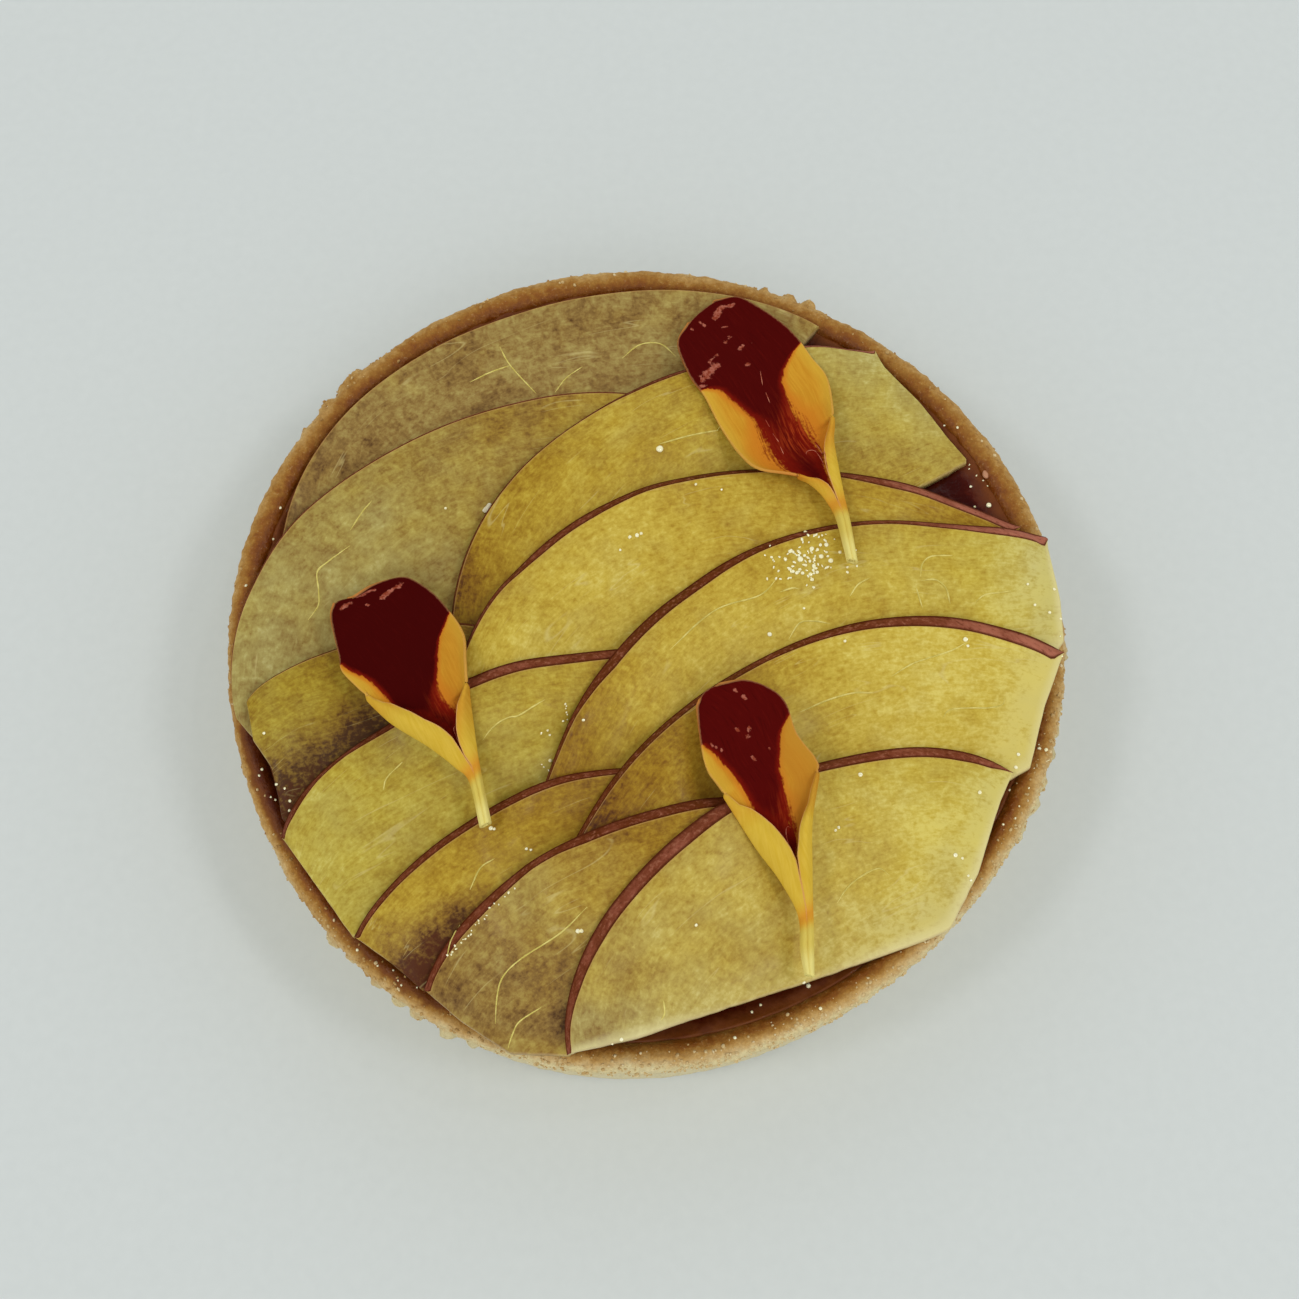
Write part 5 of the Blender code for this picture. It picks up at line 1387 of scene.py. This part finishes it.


# ---------------------------------------------------------------------------------------------------
# Drops and crumbs
# Beads of juice and sugar on the fruit, whose near-white colour is a painted glint, a berry seed and a flake
# of flesh, and the loose crumbs of dough on the shell's rim and outer side. Each grain lies a little sunk in what
# carries it.
# ---------------------------------------------------------------------------------------------------

# Place and radius of each drop of juice, in millimetres
DROPS = (
    (15.1, 6.6, 0.3), (18, 6.5, 0.24), (17.6, 8, 0.22), (16.2, 7.6, 0.22), (17.1, 6.9, 0.24), (16.4, 6, 0.22),
    (16.2, 4.7, 0.2), (15.3, 5.3, 0.18), (16.7, 5.4, 0.18), (14.1, 7.3, 0.18), (18.9, 7.3, 0.16),
    (1.7, 18.1, 0.36), (-1.2, 9, 0.18), (-0.5, 9.2, 0.22), (-0.1, 9.4, 0.16), (-2.1, 7.7, 0.14),
    (5.2, 14.4, 0.14), (7.7, 14, 0.12), (12.1, -0.5, 0.22), (-5.3, -10.1, 0.14), (19.6, 5.4, 0.14),
    (20.5, 6, 0.12), (15.4, 2, 0.14), (20.4, 7.5, 0.12), (39.2, 3.7, 0.16), (37.3, 2.2, 0.14),
    (-8.4, -13.1, 0.18), (19.1, -1.5, 0.14), (30.4, -1.4, 0.24), (30.6, -2, 0.16), (34.7, -12.4, 0.18),
    (34.4, -13.6, 0.18), (-5.5, -29.1, 0.22), (-5.2, -29.1, 0.18), (20, -14.4, 0.22), (17.4, -19.8, 0.14),
    (28.3, -21.8, 0.22), (30.8, -16.1, 0.2), (-13.6, -19.5, 0.2), (-13.3, -19.6, 0.14), (-19.1, 12.3, 0.14),
    (34.1, 13.4, 0.26), (14.2, -33.2, 0.16), (14.9, -33.1, 0.22), (9.8, -35.4, 0.14), (10.6, -34.8, 0.14),
    (15.8, -35.2, 0.16), (-1.7, -38.2, 0.18), (-35.5, 12.9, 0.14), (-36, 9.7, 0.12), (-38.1, 4.6, 0.14),
    (-25.4, -30.1, 0.13), (-23.5, -31.5, 0.1), (-22.1, -31.9, 0.09), (-21.6, -32.8, 0.09), (-21.3, -33.2, 0.1),
    (-19.9, -33.4, 0.09), (37.6, -11.6, 0.18), (37, -11.5, 0.14), (37.8, -12.5, 0.12), (33.1, -18.7, 0.12),
    (34.1, -15.3, 0.12), (28.9, -22.1, 0.14), (29.3, -23.7, 0.12), (29.5, -24.1, 0.12), (38.6, 1.4, 0.16),
    (36.7, 4.2, 0.14), (17.7, -19.5, 0.14), (4.7, -28.8, 0.14), (-10.3, -21.5, 0.14), (-9.9, -21.6, 0.12),
    (8.2, -37.7, 0.14), (-34.6, -10.8, 0.14), (-2.5, -38.5, 0.12), (30.2, 22, 0.12), (31.4, 21.5, 0.14),
    (32.5, 15.5, 0.14), (32.8, 13.4, 0.12), (-35.2, -13.5, 0.14), (-35.4, -14.1, 0.12), (-33.3, -15.4, 0.14),
    (-32.6, -15.7, 0.12), (-32.1, -16.8, 0.14), (-32.1, -17.7, 0.12), (-33.8, -16.3, 0.12), (-34.2, -16.1, 0.1),
)
# Ends of each string of small drops, in millimetres, and how many lie along it
DROP_STRINGS = (
    ((-6.9, -8.2), (-7.2, -9.8), 7), ((-9, -10.7), (-8.3, -10.9), 3), ((-9, -13.3), (-8.8, -13.9), 3),
    ((-17.1, -31.1), (-13.7, -27.3), 16), ((-13.7, -27.3), (-11, -25), 6), ((37.6, -10), (34, -19), 6),
    ((39.7, 1), (39, -4), 4), ((32, 18), (34.5, 15), 5),
)
STRING_SCATTER = 0.12
STRING_RADIUS = (0.06, 0.13)
# The shower of drops beside the upper petal: middle, half length and half width in millimetres, compass
# angle and count
SHOWER = (15.4, 6.6, 2.1, 1.1, 28, 90)
SHOWER_RADIUS = (0.06, 0.20)
DROP_FLATNESS = 0.55
SEED_FLATNESS = 0.7
FLAKE_FLATNESS = 0.4
GRAIN_SINK = 0.35
# Place, half length and half width in millimetres, and compass angle
SEED_PLACE = (33.9, 16.5, 0.46, 0.30, 100)
FLAKE_PLACE = (-15.1, 12.5, 0.60, 0.28, 55)
# Compass angles between which crumbs lie on the rim, and how many
CRUMB_ARCS = (
    (-150, -136, 50), (-136, -108, 130), (-108, -62, 420), (-62, -2, 420), (-2, 60, 90), (60, 75, 40),
    (75, 130, 60), (130, 150, 60), (150, 210, 60),
)
CRUMB_RADIUS = (0.00005, 0.00019)
CRUMB_SMALLNESS = 1.6
CRUMB_SIZES = (0.6, 1.25)
# Most crumbs are dark, and all of them are paler towards one side, partly their own pale dough and partly
# painted glints of light
CRUMB_DARKNESS = 1.5
CRUMB_PALE_AND_GLINT = 0.85
CRUMB_PALE_AND_GLINT_SIDE = radians(-60)
# How far out from the rim's top the crumbs lie: middle and spread of the angle, and its ends
CRUMB_LEAN = (radians(28), radians(38))
CRUMB_LEAN_ENDS = (radians(-70), radians(150))
CRUMB_LIFT = 0.05
CRUMB_START = 0.005


def rim_middle(angle):
    """Middle of the rim's round top at an angle, bent as the shell is."""
    middle = RIM_RADIUS - WALL / 2
    out = middle * (1 + waves(LOBES, angle) * middle / RIM_RADIUS**2)
    return Vector((out * cos(angle), out * sin(angle), HEIGHT - RIM_ROUND + waves(RIM_WAVES, angle)))


tree, given, result = new_geometry_tree("scattered_grains", {
    "Smoothness": "Int", "Lump size": "Float", "Lump depth": "Float", "Paint": "Material",
})
ball = add(tree, "GeometryNodeMeshIcoSphere", {"Radius": 1.0, "Subdivisions": given["Smoothness"]}).outputs[0]
grains = add(tree, "GeometryNodeInstanceOnPoints", {
    "Points": given["Mesh"], "Instance": ball, "Rotation": named_value(tree, "grain_turn", "FLOAT_VECTOR"),
    "Scale": named_value(tree, "grain_size", "FLOAT_VECTOR"),
}).outputs[0]
grains = add(tree, "GeometryNodeRealizeInstances", {"Geometry": grains}).outputs[0]
lumps = add(tree, "ShaderNodeTexNoise", {
    "Vector": add(tree, "GeometryNodeInputPosition").outputs[0], "Detail": 1.0,
    "Scale": add(tree, "ShaderNodeMath", {0: 1.0, 1: given["Lump size"]}, operation="DIVIDE").outputs[0],
}).outputs["Color"]
push = add(tree, "ShaderNodeVectorMath", {0: lumps, 1: (0.5, 0.5, 0.5)}, operation="SUBTRACT").outputs[0]
push = add(tree, "ShaderNodeVectorMath", {0: push, "Scale": given["Lump depth"]}, operation="SCALE").outputs[0]
grains = add(tree, "GeometryNodeSetPosition", {"Geometry": grains, "Offset": push}).outputs[0]
finished(tree, grains, given, result)
grain_tree = tree

random = np.random.default_rng(11)
drops = [(x, y, radius, radius, random.uniform(0, 180)) for x, y, radius in DROPS]
for start, end, amount in DROP_STRINGS:
    for share in (np.arange(amount) + random.uniform(0.1, 0.9, amount)) / amount:
        spot = np.array(start) + np.subtract(end, start) * share + random.normal(0, STRING_SCATTER, 2)
        drops.append((*spot, *random.uniform(*STRING_RADIUS, 2), random.uniform(0, 180)))
x, y, long, wide, compass, amount = SHOWER
ahead = np.array((cos(radians(compass)), sin(radians(compass))))
beside = np.array((-sin(radians(compass)), cos(radians(compass))))
for far, aside in random.normal(0, 1, (amount, 2)):
    spot = (x, y) + ahead * far * long + beside * aside * wide
    drops.append((*spot, *random.uniform(*SHOWER_RADIUS, 2), random.uniform(0, 180)))


def laid_grains(name, grains, flatness, settings):
    """Grains on the fruit, each with its place, half length and half width in millimetres and compass angle."""
    points, sizes, turns = [], [], []
    for *lengths, compass in grains:
        x, y, long, wide = np.multiply(lengths, MM)
        thick = wide * flatness
        points.append((x, y, fruit_height(x, y) + thick * GRAIN_SINK))
        sizes.append((long, wide, thick))
        turns.append((0, 0, radians(compass)))
    return grown(name, points, [], {"grain_size": sizes, "grain_turn": turns}, grain_tree, settings)


# Painted highlight: the drops are painted near white and pale yellow, for the glints of light on clear juice
paint = speckled_paint("juice_drop_painted_glint", 0.0003, 1.0, ((0.95, 0.82, 0.36), (1.0, 1.0, 0.80)), (0.05, 0.20),
                       others={"Specular IOR Level": 0.6, "Coat Weight": 0.5})
settings = {"Smoothness": 2, "Lump size": 0.0003, "Lump depth": 0.00012, "Paint": paint}
juice = laid_grains("juice_drops_painted_glints", drops, DROP_FLATNESS, settings)
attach(juice, "root")

paint = speckled_paint("berry_seed", 0.0004, 2.0, (seen(176, 118, 84), seen(206, 150, 112)), (0.35, 0.50))
settings = {"Smoothness": 3, "Lump size": 0.0005, "Lump depth": 0.00010, "Paint": paint}
seed = laid_grains("berry_seed", [SEED_PLACE], SEED_FLATNESS, settings)
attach(seed, "root")

# A whitish flake of flesh; its near-white colour is partly a painted highlight, a few joined glints
paint = speckled_paint("flesh_flake_and_glint", 0.0003, 2.0, (seen(206, 190, 150), seen(240, 232, 206)), (0.35, 0.60))
settings = {"Smoothness": 3, "Lump size": 0.0004, "Lump depth": 0.00030, "Paint": paint}
flake = laid_grains("flesh_flake_and_glint", [FLAKE_PLACE], FLAKE_FLATNESS, settings)
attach(flake, "root")

dough = seen_from_above([shell])
points, sizes, turns, tones = [], [], [], []
for start, end, amount in CRUMB_ARCS:
    for angle in np.radians(random.uniform(start, end, amount)):
        lean = np.clip(random.normal(*CRUMB_LEAN), *CRUMB_LEAN_ENDS)
        ahead = Vector((cos(angle) * cos(lean), sin(angle) * cos(lean), sin(lean)))
        spot = dough.ray_cast(rim_middle(angle) + ahead * CRUMB_START, -ahead)[0]
        size = CRUMB_RADIUS[0] + (CRUMB_RADIUS[1] - CRUMB_RADIUS[0]) * random.uniform() ** CRUMB_SMALLNESS
        points.append(spot + ahead * size * CRUMB_LIFT)
        sizes.append(size * random.uniform(*CRUMB_SIZES, 3))
        turns.append(random.uniform(0, 2 * pi, 3))
        # Painted highlight: crumbs towards the near side are made paler, partly for glints of light on them
        tones.append(max(random.uniform() ** CRUMB_DARKNESS, CRUMB_PALE_AND_GLINT * cos(angle - CRUMB_PALE_AND_GLINT_SIDE)))
paint, tree, shader = new_material("dough_crumb")
where = place(tree)
sandy = speckle(where, 0.0004, 3.0, 0.65)
level = uneven(attribute(tree, "grain_tone"), where, 0.0004, 0.8, 3.0)
colour = steps(level, (0.0, 164, 122, 66), (0.5, 188, 150, 92), (0.8, 208, 180, 128), (1.0, 228, 208, 164))
fill(shader, {
    "Base Color": colour, "Roughness": between(sandy, 0.3, 0.7, 0.7, 0.9), "Specular IOR Level": 0.2,
    "Normal": dented(sandy, 0.00008, 0.8),
})
settings = {"Smoothness": 2, "Lump size": 0.00025, "Lump depth": 0.00018, "Paint": paint}
values = {"grain_size": sizes, "grain_turn": turns, "grain_tone": tones}
crumbs = grown("dough_crumbs", points, [], values, grain_tree, settings)
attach(crumbs, "root")
